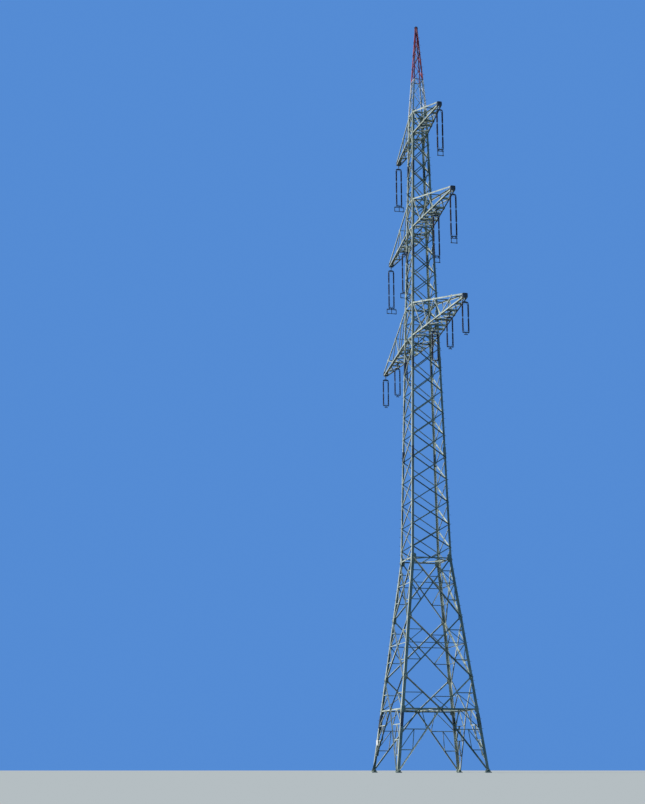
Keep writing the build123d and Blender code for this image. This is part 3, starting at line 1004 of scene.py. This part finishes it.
@dataclass
class Peak:
    """The pointed top of the tower, white below and red above."""

    brace: Steel = Steel(0.022, 0.0025)
    bore_drop: float = 0.045
    end_inset: float = 0.012
    skin: float = 0.006
    clamp_plate: Triple = (0.1, 0.056, 0.01)
    clamp_bolt: float = 0.036
    collar_height: float = 0.05

    def stage(self, piece: Piece, low: float, high: float, panels: int) -> None:
        """Lays the legs and crossed sides of a length of the peak.

        Args:
            piece: What they belong to.
            low: Where it begins.
            high: Where it ends.
            panels: How many crossed panels each side has.
        """
        steel = BODY.leg((low + high) / 2)
        for corner in Corner:
            ends = [corner.turned(BODY.heel(z, steel.flange)) for z in (high, low)]
            piece.member(steel, *ends, corner.turned(Y))
        for face in Face:
            side = BodyFace(face, piece)
            side.row(self.brace, low, high, panels)
            for z in (low + self.end_inset, high - self.end_inset):
                side.level(self.brace, z)

    def cap(self, piece: Piece) -> None:
        """Closes the tip with a hollow-faced cap."""
        width, height = 2 * BODY.tip_half, BODY.cap_height + self.end_inset
        with box((width, width, height), (0, 0, BODY.tip_z - height / 2)):
            pick(Pick.FACE, lambda face: abs(face.normal.z) < 0.5)
            sink(0.01, self.skin)
        piece.own(bpy.context.object)

    def model_collar(self) -> None:
        """Flares a collar round the earth wire's bore."""
        with cylinder(16, 0.02, self.collar_height, (0, 0, self.collar_height / 2), smooth=True):
            pick_top()
            resize(0.75, 0.75, 1, self.collar_height)
            bpy.ops.mesh.inset(thickness=0.009, depth=-0.02)

    def wire_clamp(self) -> None:
        """Caps the tip and bolts the earth wire's clamp to both its sides."""
        piece = Piece("earth_wire_clamp", Slot.FITTINGS)
        self.cap(piece)
        for way in SIDES:
            outward = X * way
            seat = Vector((0, 0, BODY.tip_z - self.bore_drop)) + outward * (BODY.tip_half - self.skin)
            piece.plate(self.clamp_plate, seat, outward, Y)
            piece.add(SHOP.kept(self.model_collar, "collar"), standing(seat, outward, Y))
            for y in (-self.clamp_bolt, self.clamp_bolt):
                piece.bolt(0.009, seat + outward * self.clamp_plate[2] + Y * y, outward, Y)
        piece.finish()

    def build(self) -> None:
        """Builds both lengths of the peak."""
        climbed = ClimbingBolts(Corner.FRONT_RIGHT)
        white = Piece("peak_white_angles", Slot.PEAK_WHITE, replaced=("peak_white",))
        self.stage(white, BODY.top_ring_z, BODY.red_z, BODY.peak_white_panels)
        climbed.set_bolts(white, BODY.top_ring_z + 0.1, BODY.red_z)
        white.finish()
        red = Piece("peak_red_angles", Slot.PEAK_RED, replaced=("peak_red",))
        self.stage(red, BODY.red_z, BODY.tip_z - BODY.cap_height, BODY.peak_red_panels)
        climbed.set_bolts(red, BODY.red_z + 0.1, BODY.tip_z - 0.3)
        red.finish()
        self.wire_clamp()


@dataclass
class CrossArm:
    """One half of a level of cross-arms, with the hangers of its phases."""

    shape: ArmShape
    half: Half
    ear_radius: float = 0.024
    ear_steel: float = 0.01
    eye_gap: float = 0.011
    pin_radius: float = 0.009
    gusset_size: Triple = (0.2, 0.11, 0.005)
    gusset_bolts: tuple[float, ...] = (-0.07, -0.025, 0.025, 0.07)
    tip_plate: Pair = (0.17, 0.006)
    tip_bolts: tuple[float, ...] = (-0.055, -0.01, 0.035)

    def __post_init__(self) -> None:
        """Finds where the chords leave the body."""
        self.reach = self.shape.phases[-1]
        self.root, self.high_root = BODY.half(self.shape.low), BODY.half(self.shape.low + self.shape.depth)
        leg_line = BODY.upper_leg.flange / 2
        self.low_half, self.high_half = self.root - leg_line, self.high_root - leg_line
        self.chord_half = self.shape.chord.flange / 2
        self.layer = -self.chord_half + self.shape.chord.thickness
        self.along = self.half.turned(Y)
        self.piece = Piece(f"{self.shape.name}_arm_angles_{self.half.side}", Slot.LATTICE,
                           replaced=(f"{self.shape.name}_arm_{self.half.side}",))

    def lower(self, sign: int, out: float) -> Vector:
        """A point on a lower chord's middle line."""
        share = (out - self.root) / (self.reach - self.root)
        across = self.low_half + (self.shape.tip_half - self.low_half) * share
        return Vector((sign * across, -out, self.shape.low))

    def upper(self, sign: int, out: float) -> Vector:
        """A point on an upper chord's middle line."""
        share = (out - self.high_root) / (self.reach - self.high_root)
        across = self.high_half + (self.shape.tip_half - self.high_half) * share
        top = self.shape.depth - self.chord_half
        height = top + (self.shape.tip_depth - top) * share
        return Vector((sign * across, -out, self.shape.low + height))

    def lay(self, steel: Steel, start: Vector, end: Vector, inward: Vector, lift: float,
            bolted: bool = True) -> None:
        """Lays a member of the front half, turned to this half.

        Args:
            steel: Its section.
            start: One end, on the chords' middle lines.
            end: The other end.
            inward: The way that its outstanding flange points.
            lift: How far it is moved that way.
            bolted: True if both ends show two bolts.
        """
        start, end, inward = (self.half.turned(point) for point in (start, end, inward))
        self.piece.member(steel, start, end, inward, lift)
        if bolted:
            self.piece.bolts(start, end, -inward, -lift, 0.008)

    def lay_heeled(self, steel: Steel, start: Vector, end: Vector, sign: int, inward: Vector,
                   lift: float) -> None:
        """Lays one of two mirrored members, with its ends swapped on the left so that heels mirror too.

        Args:
            steel: Its section.
            start: One end of the right member.
            end: Its other end.
            sign: -1 for the left member, 1 for the right one.
            inward: The way that its outstanding flange points.
            lift: How far it is moved that way.
        """
        ends = (start, end) if sign > 0 else (end, start)
        self.lay(steel, *ends, inward, lift, bolted=False)

    def chords(self) -> None:
        """Lays the four chords with their heels at the outer corners."""
        for sign in SIDES:
            for start, end in ((self.lower(sign, self.root), self.lower(sign, self.reach)),
                               (self.upper(sign, self.reach), self.upper(sign, self.high_root))):
                self.lay_heeled(self.shape.chord, start, end, sign, X * -sign, -self.chord_half)

    def side_webs(self) -> None:
        """Lays the webs of both sloping sides and the bars between the upper chords."""
        webs = ((self.high_root, self.shape.first_node), *self.shape.webs)
        high_nodes = sorted({high for high, _ in self.shape.webs})
        for sign in SIDES:
            for high, low in webs:
                self.lay(self.shape.web, self.upper(sign, high), self.lower(sign, low), X * -sign, self.layer)
            for low in sorted({low for _, low in webs}):
                self.gusset(sign, self.lower(sign, low))
            for high in high_nodes:
                self.gusset(sign, self.upper(sign, high))
        for high in high_nodes:
            self.lay(self.shape.web, self.upper(-1, high), self.upper(1, high), -Z, self.layer)

    def gusset(self, sign: int, point: Vector) -> None:
        """Sets a gusset plate against the outside of a chord.

        Args:
            sign: The side of the arm.
            point: The node, on the chord's middle line.
        """
        outward = self.half.turned(X * sign)
        seat = self.half.turned(point) + outward * self.chord_half
        self.piece.plate(self.gusset_size, seat, outward, self.along)
        for step in self.gusset_bolts:
            bolt = seat + self.along * step + outward * self.gusset_size[2]
            self.piece.bolt(0.009, bolt, outward, self.along)

    def floor(self) -> None:
        """Lays the floor's level bars and the crossed bars of its longer bays."""
        stops = [self.root, *self.shape.floor_bars, self.reach]
        bays = list(zip(stops, stops[1:]))
        long_middles = [(inner + outer) / 2 for inner, outer in bays if outer - inner > self.shape.long_bay]
        for out in (*self.shape.floor_bars, *long_middles):
            self.lay(self.shape.floor_bar, self.lower(-1, out), self.lower(1, out), Z, self.layer)
        brace = self.shape.floor_brace
        for inner, outer in bays:
            if outer - inner > self.low_half:
                middle = (inner + outer) / 2
                for start, end in ((inner, middle), (middle, outer)):
                    self.lay(brace, self.lower(-1, start), self.lower(1, end), Z, self.layer)
                    self.lay(brace, self.lower(1, start), self.lower(-1, end), Z, self.layer + brace.thickness)

    def carriers(self) -> None:
        """Lays the paired angles that carry the hangers of the inner phases."""
        for out in self.shape.phases[:-1]:
            inner = max(bar for bar in self.shape.floor_bars if bar < out)
            outer = min(bar for bar in self.shape.floor_bars if bar > out)
            for sign in SIDES:
                start, end = (Vector((sign * self.eye_gap, -bar, self.shape.low)) for bar in (outer, inner))
                self.lay_heeled(self.shape.carrier, start, end, sign, X * sign, 0.0)

    def tip(self) -> None:
        """Closes the tip with a box of bolted plates, open at its end, all in the dark fittings finish as
        painted shade.
        """
        # Painted shade: the whole box and its plates take the dark fittings finish, not the arm's paint, so
        # the arm's end shows as dark as the shade on it.
        piece = Piece(f"{self.shape.name}_arm_tip_{self.half.side}", Slot.FITTINGS)
        width = 2 * self.shape.tip_half + self.shape.chord.flange
        height = self.shape.tip_depth + self.shape.chord.flange
        centre = Vector((0, -self.reach, self.shape.low - self.chord_half + height / 2))
        with box((width, self.shape.tip_length, height), self.half.turned(centre)):
            pick(Pick.FACE, lambda face: abs(face.normal.y) > 0.9)
            sink(0.012, 0.03)
        piece.own(bpy.context.object)
        length, thickness = self.tip_plate
        for sign in SIDES:
            outward = self.half.turned(X * sign)
            seat = self.half.turned(centre + Vector((sign * width / 2, 0.04, 0)))
            piece.plate((length, height, thickness), seat, outward, self.along)
            for step in self.tip_bolts:
                for rise in (-0.06, 0.06):
                    bolt = seat + outward * thickness + self.along * step + Z * rise
                    piece.bolt(0.01, bolt, outward, self.along)
        top = self.half.turned(centre + Vector((0, 0.03, height / 2)))
        piece.plate((0.15, width, 0.005), top, Z, self.along)
        piece.finish()

    def hanger(self, out: float) -> None:
        """Hangs two rounded ears with their pin under the arm.

        Args:
            out: How far out the phase hangs.
        """
        pin = self.half.turned(Vector((0, -out, self.shape.pin_z)))
        outer_x = self.eye_gap + self.ear_steel
        for x in (-outer_x, self.eye_gap):
            self.piece.add(SHOP.kept(self.model_ear, "ear"), Matrix.Translation(pin + X * x))
        length = 2 * (outer_x + 0.008)
        self.piece.add(SHOP.kept(self.model_pin, "pin"), Matrix.Translation(pin) @ Matrix.Scale(length, 4, X))
        for sign in SIDES:
            self.piece.bolt(0.014, pin + X * sign * outer_x, X * sign, Z)

    def model_ear(self) -> None:
        """Pulls the upper half of a disc up to the arm, its back on X = 0 and the pin's axis at the origin."""
        with cylinder(24, self.ear_radius, self.ear_steel, (self.ear_steel / 2, 0, 0), ALONG_X):
            pick(Pick.VERT, lambda vert: vert.co.z > 0.001)
            bpy.ops.transform.translate(value=(0, 0, self.shape.pin_drop))

    def model_pin(self) -> None:
        """Leaves a smooth round pin one metre long."""
        with cylinder(16, self.pin_radius, 1, turn=ALONG_X, smooth=True):
            pick_all()

    def build(self) -> None:
        """Builds the whole half arm."""
        self.chords()
        self.side_webs()
        self.floor()
        self.carriers()
        self.tip()
        for out in self.shape.phases:
            self.hanger(out)
        self.piece.finish()


@dataclass
class InsulatorSet:
    """Two strings of long rods with their yokes and clamps, which swing on one pin."""

    shape: ArmShape
    place: str
    out: float
    half: Half
    spacing: float = 0.25
    pitch: float = 0.63
    cap_length: float = 0.045
    rod_radius: float = 0.04
    core_radius: float = 0.019
    cap_radius: float = 0.021
    link_length: float = 0.1
    yoke_height: float = 0.08
    yoke_steel: float = 0.014
    yoke_margin: float = 0.026
    lower_yoke_height: float = 0.046
    clamp_drop: float = 0.062
    twin_spacing: float = 0.21
    front_twin_length: float = 0.31
    back_twin_length: float = 0.5
    single_length: float = 0.15
    strap_width: float = 0.03
    strap_steel: float = 0.016
    clamp_radius: float = 0.02
    bore_radius: float = 0.007
    bow_height: float = 0.055
    bow_bar: Pair = (0.014, 0.016)
    horn_radius: float = 0.0055
    horn_bend: float = 0.09
    eye_radius: float = 0.024
    eye_width: float = 0.018
    clevis_size: Triple = (0.034, 0.038, 0.06)
    shed_profile: tuple[tuple[float, bool], ...] = ((0.25, False), (0.3, True), (0.12, True), (0.33, False))
    sheds: int = 18

    def __post_init__(self) -> None:
        """Finds the pin and the heights below it."""
        self.pin = self.half.turned(Vector((0, -self.out, self.shape.pin_z)))
        name, side = f"{self.shape.name}_{self.place}", self.half.side
        body = f"{name}_set_{side}"
        self.rods = Piece(f"{name}_rods_{side}", Slot.INSULATORS, body, (f"{name}_strings_{side}",))
        self.steel = Piece(f"{name}_steel_{side}", Slot.FITTINGS, body, (f"{name}_fittings_{side}",))
        self.seat = -self.link_length - self.yoke_height
        self.foot = self.seat - self.shape.rods * self.pitch
        self.under = self.foot - self.lower_yoke_height
        self.clamps = [self.under - self.clamp_drop]
        self.bow_span = (self.back_twin_length - self.strap_width) / 2
        self.lines = (-self.spacing / 2, self.spacing / 2)
        if self.shape.twin:
            self.clamps.append(self.clamps[0] - self.twin_spacing)

    def at(self, x: float, z: float) -> Matrix:
        """A place in the plane of the strings, measured from the pin."""
        return Matrix.Translation(self.pin + Vector((x, 0, z)))

    def model_rod(self) -> None:
        """Pulls the sheds of a long rod, ring after ring, out of one open ring."""
        step = (self.pitch - 2 * self.cap_length) / self.sheds
        z, radius = -self.cap_length, self.core_radius
        with modelled(bpy.ops.mesh.primitive_circle_add, True, vertices=14, radius=radius, location=(0, 0, z)):
            bpy.ops.mesh.select_mode(type="EDGE")
            pick_all()
            for drop, shed in self.shed_profile * self.sheds:
                z -= drop * step
                pull(-drop * step)
                wide = self.rod_radius if shed else self.core_radius
                resize(wide / radius, wide / radius, 1, z)
                radius = wide
            close_up()

    def model_cap(self) -> None:
        """Necks a cast cap down to the coupling at its far end."""
        length = self.cap_length
        with cylinder(14, self.cap_radius * 1.15, length * 0.62, (0, 0, -length * 0.69), smooth=True):
            pick_top()
            bpy.ops.mesh.inset(thickness=self.cap_radius * 0.55, depth=0)
            pull(length * 0.38)

    def model_arch(self) -> None:
        """Cuts the rounded upper yoke out of a flattened disc."""
        half = self.spacing / 2 + self.yoke_margin
        with cylinder(40, half, self.yoke_steel, turn=ALONG_Y):
            cut(ORIGIN, Z, clear_inner=True, use_fill=True)
            pick_all()
            resize(1, 1, self.yoke_height / half)
            pick(Pick.FACE, lambda face: abs(face.normal.y) > 0.9)
            sink(0.014, 0.0035)

    def model_bar(self) -> None:
        """Clips the lower corners off the straight lower yoke."""
        height = self.lower_yoke_height
        with box((self.spacing + 2 * self.yoke_margin, self.yoke_steel, height), (0, 0, -height / 2)):
            pick(Pick.EDGE, lambda edge: all(vert.co.z < -height / 2 for vert in edge.verts)
                 and abs(edge.verts[0].co.y - edge.verts[1].co.y) > 0.001)
            bpy.ops.mesh.bevel(offset=0.024, segments=3)

    def model_horn(self) -> None:
        """Spins a thin round bar out and up into an arcing horn."""
        with modelled(bpy.ops.mesh.primitive_circle_add, True, vertices=8, radius=self.horn_radius,
                      fill_type="NGON", rotation=ALONG_X):
            pick_all()
            bpy.ops.mesh.spin(steps=8, angle=math.radians(-70), center=(0, 0, self.horn_bend), axis=Y)
            pull(0.05, x=0.018)
            close_up()

    def model_link(self) -> None:
        """Stretches the eye on the pin down to the yoke."""
        with cylinder(24, self.eye_radius, self.eye_width, turn=ALONG_X):
            pick(Pick.VERT, lambda vert: vert.co.z < -0.001)
            bpy.ops.transform.translate(value=(0, 0, -self.link_length))
            resize(1, 0.6, 1, -self.link_length)

    def model_clamp(self, length: float) -> None:
        """Hollows the ends of a clamp's round body and waists its middle.

        Args:
            length: How long it is, along the line.
        """
        with cylinder(18, self.clamp_radius, length, turn=ALONG_X, smooth=True):
            bpy.ops.mesh.select_mode(type="FACE")
            for place in (-0.3, -0.22, 0.22, 0.3):
                cut((place * length, 0, 0), X)
            pick(Pick.FACE,
                 lambda face: abs(face.normal.x) < 0.5 and abs(face.calc_center_median().x) < 0.2 * length)
            resize(1, 0.8, 0.8)
            pick(Pick.FACE,
                 lambda face: abs(face.normal.x) > 0.9 and abs(face.calc_center_median().x) > 0.45 * length)
            sink(self.clamp_radius - self.bore_radius, 0.02)

    def model_keeper(self) -> None:
        """Raises the lip of a band that holds a clamp shut."""
        with cylinder(18, self.clamp_radius * 1.06, 0.016, turn=ALONG_X):
            pick(Pick.FACE, lambda face: abs(face.normal.x) < 0.5)
            bpy.ops.mesh.inset(thickness=0.004, depth=0.004)

    def model_clevis(self) -> None:
        """Splits the lower half of a forged block into the two cheeks of a clevis."""
        with box(self.clevis_size, (0, 0, -self.clevis_size[2] / 2)):
            pick_all()
            bpy.ops.mesh.bevel(offset=0.007, segments=2)
            for place in (-0.009, 0.009):
                cut((0, place, 0), Y)
            pick(Pick.FACE, lambda face: face.normal.z < -0.9 and abs(face.calc_center_median().y) < 0.008)
            pull(0.034)

    def model_bow(self) -> None:
        """Spins a flat bar into the low arch that two droppers hang from."""
        half = self.bow_span / 2
        with modelled(bpy.ops.mesh.primitive_plane_add, False, size=1, location=(half, 0, 0)):
            pick_all()
            bpy.ops.transform.resize(value=(*self.bow_bar, 1), center_override=(half, 0, 0))
            bpy.ops.mesh.spin(steps=12, angle=math.pi, center=ORIGIN, axis=Y)
            pick_all()
            lowest = min(vert.co.z for vert in bmesh.from_edit_mesh(bpy.context.object.data).verts)
            if lowest < -half / 2:
                resize(1, 1, -1)
            resize(1, 1, self.bow_height / half)
            close_up()

    def through(self, x: float, z: float, depth: float, size: float, across: Vector = X) -> None:
        """Sets a bolt's head on the front and on the back of what it goes through.

        Args:
            x: Where along the line.
            z: The height below the pin.
            depth: How far the heads' seats lie from the plane of the strings.
            size: Half the width of a head.
            across: The way that a corner of the heads points.
        """
        for way in SIDES:
            self.steel.bolt(size, self.pin + Vector((x, way * depth, z)), Y * way, across)

    def strap(self, x: float, top: float, bottom: float) -> None:
        """Hangs a flat strap with clipped corners in the plane of the strings, with a bolt at each end.

        Args:
            x: Where along the line.
            top: Its upper end.
            bottom: Its lower end.
        """
        middle = self.pin + Vector((x, self.strap_steel / 2, (top + bottom) / 2))
        size = self.strap_width, top - bottom + self.strap_width, self.strap_steel
        self.steel.plate(size, middle, -Y, X)
        for z in (top, bottom):
            self.through(x, z, self.strap_steel / 2, 0.01)

    def hang_clamps(self, length: float) -> None:
        """Sets the clamps, each with a band near both ends.

        Args:
            length: How long they are, along the line.
        """
        for z in self.clamps:
            self.steel.add(SHOP.kept(self.model_clamp, "clamp", length), self.at(0, z))
            for x in (-0.36 * length, 0.36 * length):
                self.steel.add(SHOP.kept(self.model_keeper, "keeper"), self.at(x, z))
                self.steel.bolt(0.007, self.pin + Vector((x, 0, z - self.clamp_radius * 1.1)), -Z, X)

    def clevis(self, x: float) -> None:
        """Hangs a clevis with its cross bolt under the lower yoke.

        Args:
            x: Where along the line.
        """
        top = self.under + 0.012
        self.steel.add(SHOP.kept(self.model_clevis, "clevis"), self.at(x, top))
        self.through(x, top - 0.042, self.clevis_size[1] / 2, 0.009)

    def front_twin(self) -> None:
        """Holds both clamps on two droppers, which hang at the ends of the lower yoke."""
        for x in self.lines:
            self.strap(x, self.under + self.strap_width, self.clamps[1])
            self.clevis(x * 0.6)
        self.hang_clamps(self.front_twin_length)

    def back_twin(self) -> None:
        """Holds both clamps on three droppers, under two low arches."""
        self.strap(0, self.under + self.strap_width, self.clamps[0])
        for x in (-1, 0, 1):
            self.strap(x * self.bow_span, *self.clamps)
        for x in (-self.bow_span / 2, self.bow_span / 2):
            self.steel.add(SHOP.kept(self.model_bow, "bow"), self.at(x, self.clamps[0]))
            self.clevis(x)
        self.hang_clamps(self.back_twin_length)

    def single(self) -> None:
        """Hangs the one clamp from the middle of the lower yoke."""
        self.strap(0, self.under + self.strap_width, self.clamps[0])
        self.hang_clamps(self.single_length)

    def string(self, x: float) -> None:
        """Hangs a string's rods with their caps, and the horns and bolts at its two ends.

        Args:
            x: Where the string hangs.
        """
        turn_y = Matrix.Rotation(math.pi, 4, "Y")
        rod, cap = SHOP.kept(self.model_rod, "rod"), SHOP.kept(self.model_cap, "cap")
        horn = SHOP.kept(self.model_horn, "horn")
        for count in range(self.shape.rods):
            top = self.seat - count * self.pitch
            self.rods.add(rod, self.at(x, top))
            self.steel.add(cap, self.at(x, top))
            self.steel.add(cap, self.at(x, top - self.pitch) @ turn_y)
        outward = Matrix.Rotation(0 if x > 0 else math.pi, 4, "Z")
        inward = Matrix.Rotation(math.pi if x > 0 else 0, 4, "Z") @ Matrix.Scale(0.55, 4)
        self.steel.add(horn, self.at(x, self.foot - 0.012) @ outward)
        self.steel.add(horn, self.at(x, self.foot - 0.012) @ inward)
        self.steel.add(horn, self.at(x, self.seat + 0.012) @ Matrix.Rotation(math.pi, 4, "X") @ outward)
        for z in (self.seat + 0.02, self.foot - 0.02):
            self.through(x, z, self.yoke_steel / 2, 0.012, Z)

    def build(self) -> None:
        """Builds the strings, the eye, the yokes and the clamps."""
        for x in self.lines:
            self.string(x)
        self.steel.add(SHOP.kept(self.model_link, "link"), self.at(0, 0))
        self.steel.add(SHOP.kept(self.model_arch, "arch"), self.at(0, self.seat))
        self.steel.add(SHOP.kept(self.model_bar, "bar"), self.at(0, self.foot))
        if not self.shape.twin:
            self.single()
        elif self.half is Half.FRONT:
            self.front_twin()
        else:
            self.back_twin()
        self.rods.finish()
        self.steel.finish()


@dataclass
class LegTrim:
    """Splices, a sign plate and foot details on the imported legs."""

    splices: tuple[float, ...] = (2.15, 13.8, 18.0, 23.4, 27.7)
    splice_length: float = 0.56
    cover: float = 0.006
    climbed: tuple[Corner, ...] = (Corner.FRONT_RIGHT, Corner.BACK_LEFT)
    climb_from: float = 1.6
    washer: Triple = (0.06, 0.06, 0.006)
    stiffener: Triple = (0.2, 0.11, 0.01)
    sign_size: Triple = (0.3, 0.24, 0.004)
    sign_z: float = 1.27

    def splice(self, piece: Piece, corner: Corner, z: float) -> None:
        """Wraps a bolted splice angle round the outside of a leg.

        Args:
            piece: What it belongs to.
            corner: The leg.
            z: Its middle height.
        """
        steel = Steel(BODY.leg(z).flange + self.cover, self.cover)
        ends = [corner.turned(BODY.heel(end, steel.flange, self.cover))
                for end in (z + self.splice_length / 2, z - self.splice_length / 2)]
        piece.member(steel, *ends, corner.turned(Y))
        for step in range(8):
            height = z + (step - 3.5) * self.splice_length / 8.4
            half = BODY.half(height) + self.cover
            for face, way in ((-Y, X), (-X, Y)):
                seat = Vector((-half, -half, height)) + way * steel.flange * (0.42 if step % 2 else 0.72)
                piece.bolt(0.01, corner.turned(seat), corner.turned(face), Z)

    def foot(self, piece: Piece, corner: Corner) -> None:
        """Sets the anchor bolts, nuts and stiffeners of a foot plate.

        Args:
            piece: What they belong to.
            corner: The leg.
        """
        middle = -BODY.base_half + BODY.lower_leg.flange / 2
        reach = BODY.anchor_spacing / 2
        for x in (-reach, reach):
            for y in (-reach, reach):
                seat = corner.turned(Vector((middle + x, middle + y, BODY.foot_steel)))
                piece.plate(self.washer, seat, Z, X)
                for lift, size in ((0.006, 0.021), (0.022, 0.016)):
                    piece.bolt(size, seat + Z * lift, Z, X)
        heel = Vector((middle, middle, BODY.foot_steel + self.stiffener[1] / 2))
        for face in (-Y, -X):
            outward = corner.turned(face)
            for reach in (-0.02, 0.03):
                piece.plate(self.stiffener, corner.turned(heel - face * reach), outward, Z.cross(outward))

    def sign(self) -> None:
        """Bolts a blank plate to the back left leg, low on the left face."""
        piece = Piece("blank_sign_plate", Slot.PEAK_WHITE)
        width, _, thickness = self.sign_size
        half = BODY.half(self.sign_z)
        seat = Vector((-half - 0.012, half - width / 2 - 0.02, self.sign_z))
        piece.plate(self.sign_size, seat, -X, Y)
        for rise in (-0.08, 0.08):
            rail = seat + X * thickness + Z * rise
            piece.member(Steel(0.03, 0.004), rail - Y * width / 2, rail + Y * width / 2, X)
            for step in (-0.11, 0.11):
                piece.bolt(0.007, seat - X * thickness + Y * step + Z * rise, -X, Y)
        piece.finish()

    def build(self) -> None:
        """Builds the trim of all four legs."""
        splices, feet = Piece("leg_splices", Slot.FITTINGS), Piece("foot_details", Slot.LATTICE)
        for corner in Corner:
            for z in self.splices:
                self.splice(splices, corner, z)
            self.foot(feet, corner)
        splices.finish()
        feet.finish()
        self.sign()
        for corner in self.climbed:
            rungs = Piece(f"climbing_bolts_{corner.side}", Slot.FITTINGS)
            ClimbingBolts(corner).set_bolts(rungs, self.climb_from, BODY.top_ring_z - 0.2)
            rungs.finish()


def seen_directly(tree: bpy.types.NodeTree) -> Socket:
    """A socket of a tree that is 1 for what the camera, a reflection or a glass sees, and 0 for light.

    Args:
        tree: The node tree of a material or a world.

    Returns:
        The socket.
    """
    path = tree.nodes.new("ShaderNodeLightPath")
    socket = path.outputs["Is Camera Ray"]
    for name in ("Is Glossy Ray", "Is Transmission Ray"):
        either = tree.nodes.new("ShaderNodeMath")
        either.operation = "MAXIMUM"
        tree.links.new(socket, either.inputs[0])
        tree.links.new(path.outputs[name], either.inputs[1])
        socket = either.outputs[0]
    return socket


@dataclass
class Studio:
    """The floor, the backdrop's colour, the lamps and the camera."""

    backdrop: Triple = (0.09, 0.26, 0.66)
    floor: Triple = (0.74, 0.73, 0.69)
    floor_bounce: Triple = (0.03, 0.04, 0.045)
    floor_size: float = 900.0
    camera_place: Triple = (-18.31, -59.83, 0.1)
    heading: float = 0.224
    rise: float = 0.254
    focal_px: float = 1418.5
    sun_energy: float = 3.6
    sun_angle: float = math.radians(3)
    sun_colour: Triple = (1.0, 0.985, 0.955)
    sun_way: Triple = (0.92, -0.09, -0.5)
    sky_light: Triple = (0.3, 0.64, 1.0)
    sky_strength: float = 0.26

    def ground(self) -> None:
        """Lays the plain pale floor."""
        bpy.ops.object.select_all(action="DESELECT")
        bpy.ops.mesh.primitive_plane_add(size=self.floor_size)
        floor = bpy.context.object
        floor.name = "floor"
        nodes = NodeTree("pale_floor")
        shown = nodes.mix(seen_directly(nodes.tree), self.floor_bounce, self.floor)
        floor.data.materials.append(nodes.finished({"Base Color": shown, "Roughness": 1.0,
                                                    "Specular IOR Level": 0.0}))

    def sky(self) -> None:
        """Gives the world its soft light, and the colour that the camera sees."""
        world = bpy.data.worlds.new("studio")
        bpy.context.scene.world = world
        world.use_nodes = True
        tree = world.node_tree
        tree.nodes.clear()
        mix = tree.nodes.new("ShaderNodeMixShader")
        tree.links.new(seen_directly(tree), mix.inputs[0])
        for socket, colour, strength in ((1, self.sky_light, self.sky_strength), (2, self.backdrop, 1.0)):
            background = tree.nodes.new("ShaderNodeBackground")
            background.inputs["Color"].default_value = (*colour, 1)
            background.inputs["Strength"].default_value = strength
            tree.links.new(background.outputs[0], mix.inputs[socket])
        output = tree.nodes.new("ShaderNodeOutputWorld")
        tree.links.new(mix.outputs[0], output.inputs["Surface"])

    def lamp(self) -> None:
        """Hangs a broad soft key lamp high to the left of the camera."""
        sun = bpy.data.objects.new("key_lamp", bpy.data.lights.new("key_lamp", "SUN"))
        bpy.context.collection.objects.link(sun)
        sun.data.energy = self.sun_energy
        sun.data.angle = self.sun_angle
        sun.data.color = self.sun_colour
        sun.rotation_euler = Vector(self.sun_way).to_track_quat("-Z", "Y").to_euler()

    def camera(self) -> None:
        """Sets the camera where the photo was taken from."""
        camera = bpy.data.objects.new("camera", bpy.data.cameras.new("camera"))
        bpy.context.collection.objects.link(camera)
        bpy.context.scene.camera = camera
        camera.location = self.camera_place
        camera.rotation_euler = (math.pi / 2 + self.rise, 0, -self.heading)
        camera.data.sensor_width = 36
        camera.data.lens = self.focal_px / PHOTO_HEIGHT_PX * camera.data.sensor_width
        camera.data.clip_end = 1500

    def build(self) -> None:
        """Sets up the whole studio."""
        self.camera()
        self.ground()
        self.sky()
        self.lamp()
        bpy.context.scene.view_settings.view_transform = "Standard"


def build_body() -> None:
    """Builds the four lower and four upper faces, the plan bracing, the peak and the legs' trim."""
    for face in Face:
        lower, upper = (Piece(f"{length}_bracing_angles_{face.side}", Slot.LATTICE,
                              replaced=(f"{length}_bracing_{face.side}",)) for length in ("lower", "upper"))
        LowerFace(face, lower, rungs=2 if face in (Face.FRONT, Face.BACK) else 3).build()
        lower.finish()
        UpperFace(face, upper).build()
        upper.finish()
    PlanBracing().build()
    Peak().build()
    LegTrim().build()


def build_arms() -> None:
    """Builds the six half arms and the twelve insulator sets."""
    for shape in ARMS:
        for half in Half:
            CrossArm(shape, half).build()
            for place, out in zip(shape.places, shape.phases):
                InsulatorSet(shape, place, out, half).build()


def main() -> None:
    """Builds the studio and every piece in order."""
    logging.basicConfig(level=logging.INFO, format="%(message)s")
    Studio().build()
    make_finishes()
    dress_kept_nodes()
    build_body()
    build_arms()
    SHOP.tidy()


if __name__ == "__main__":
    main()
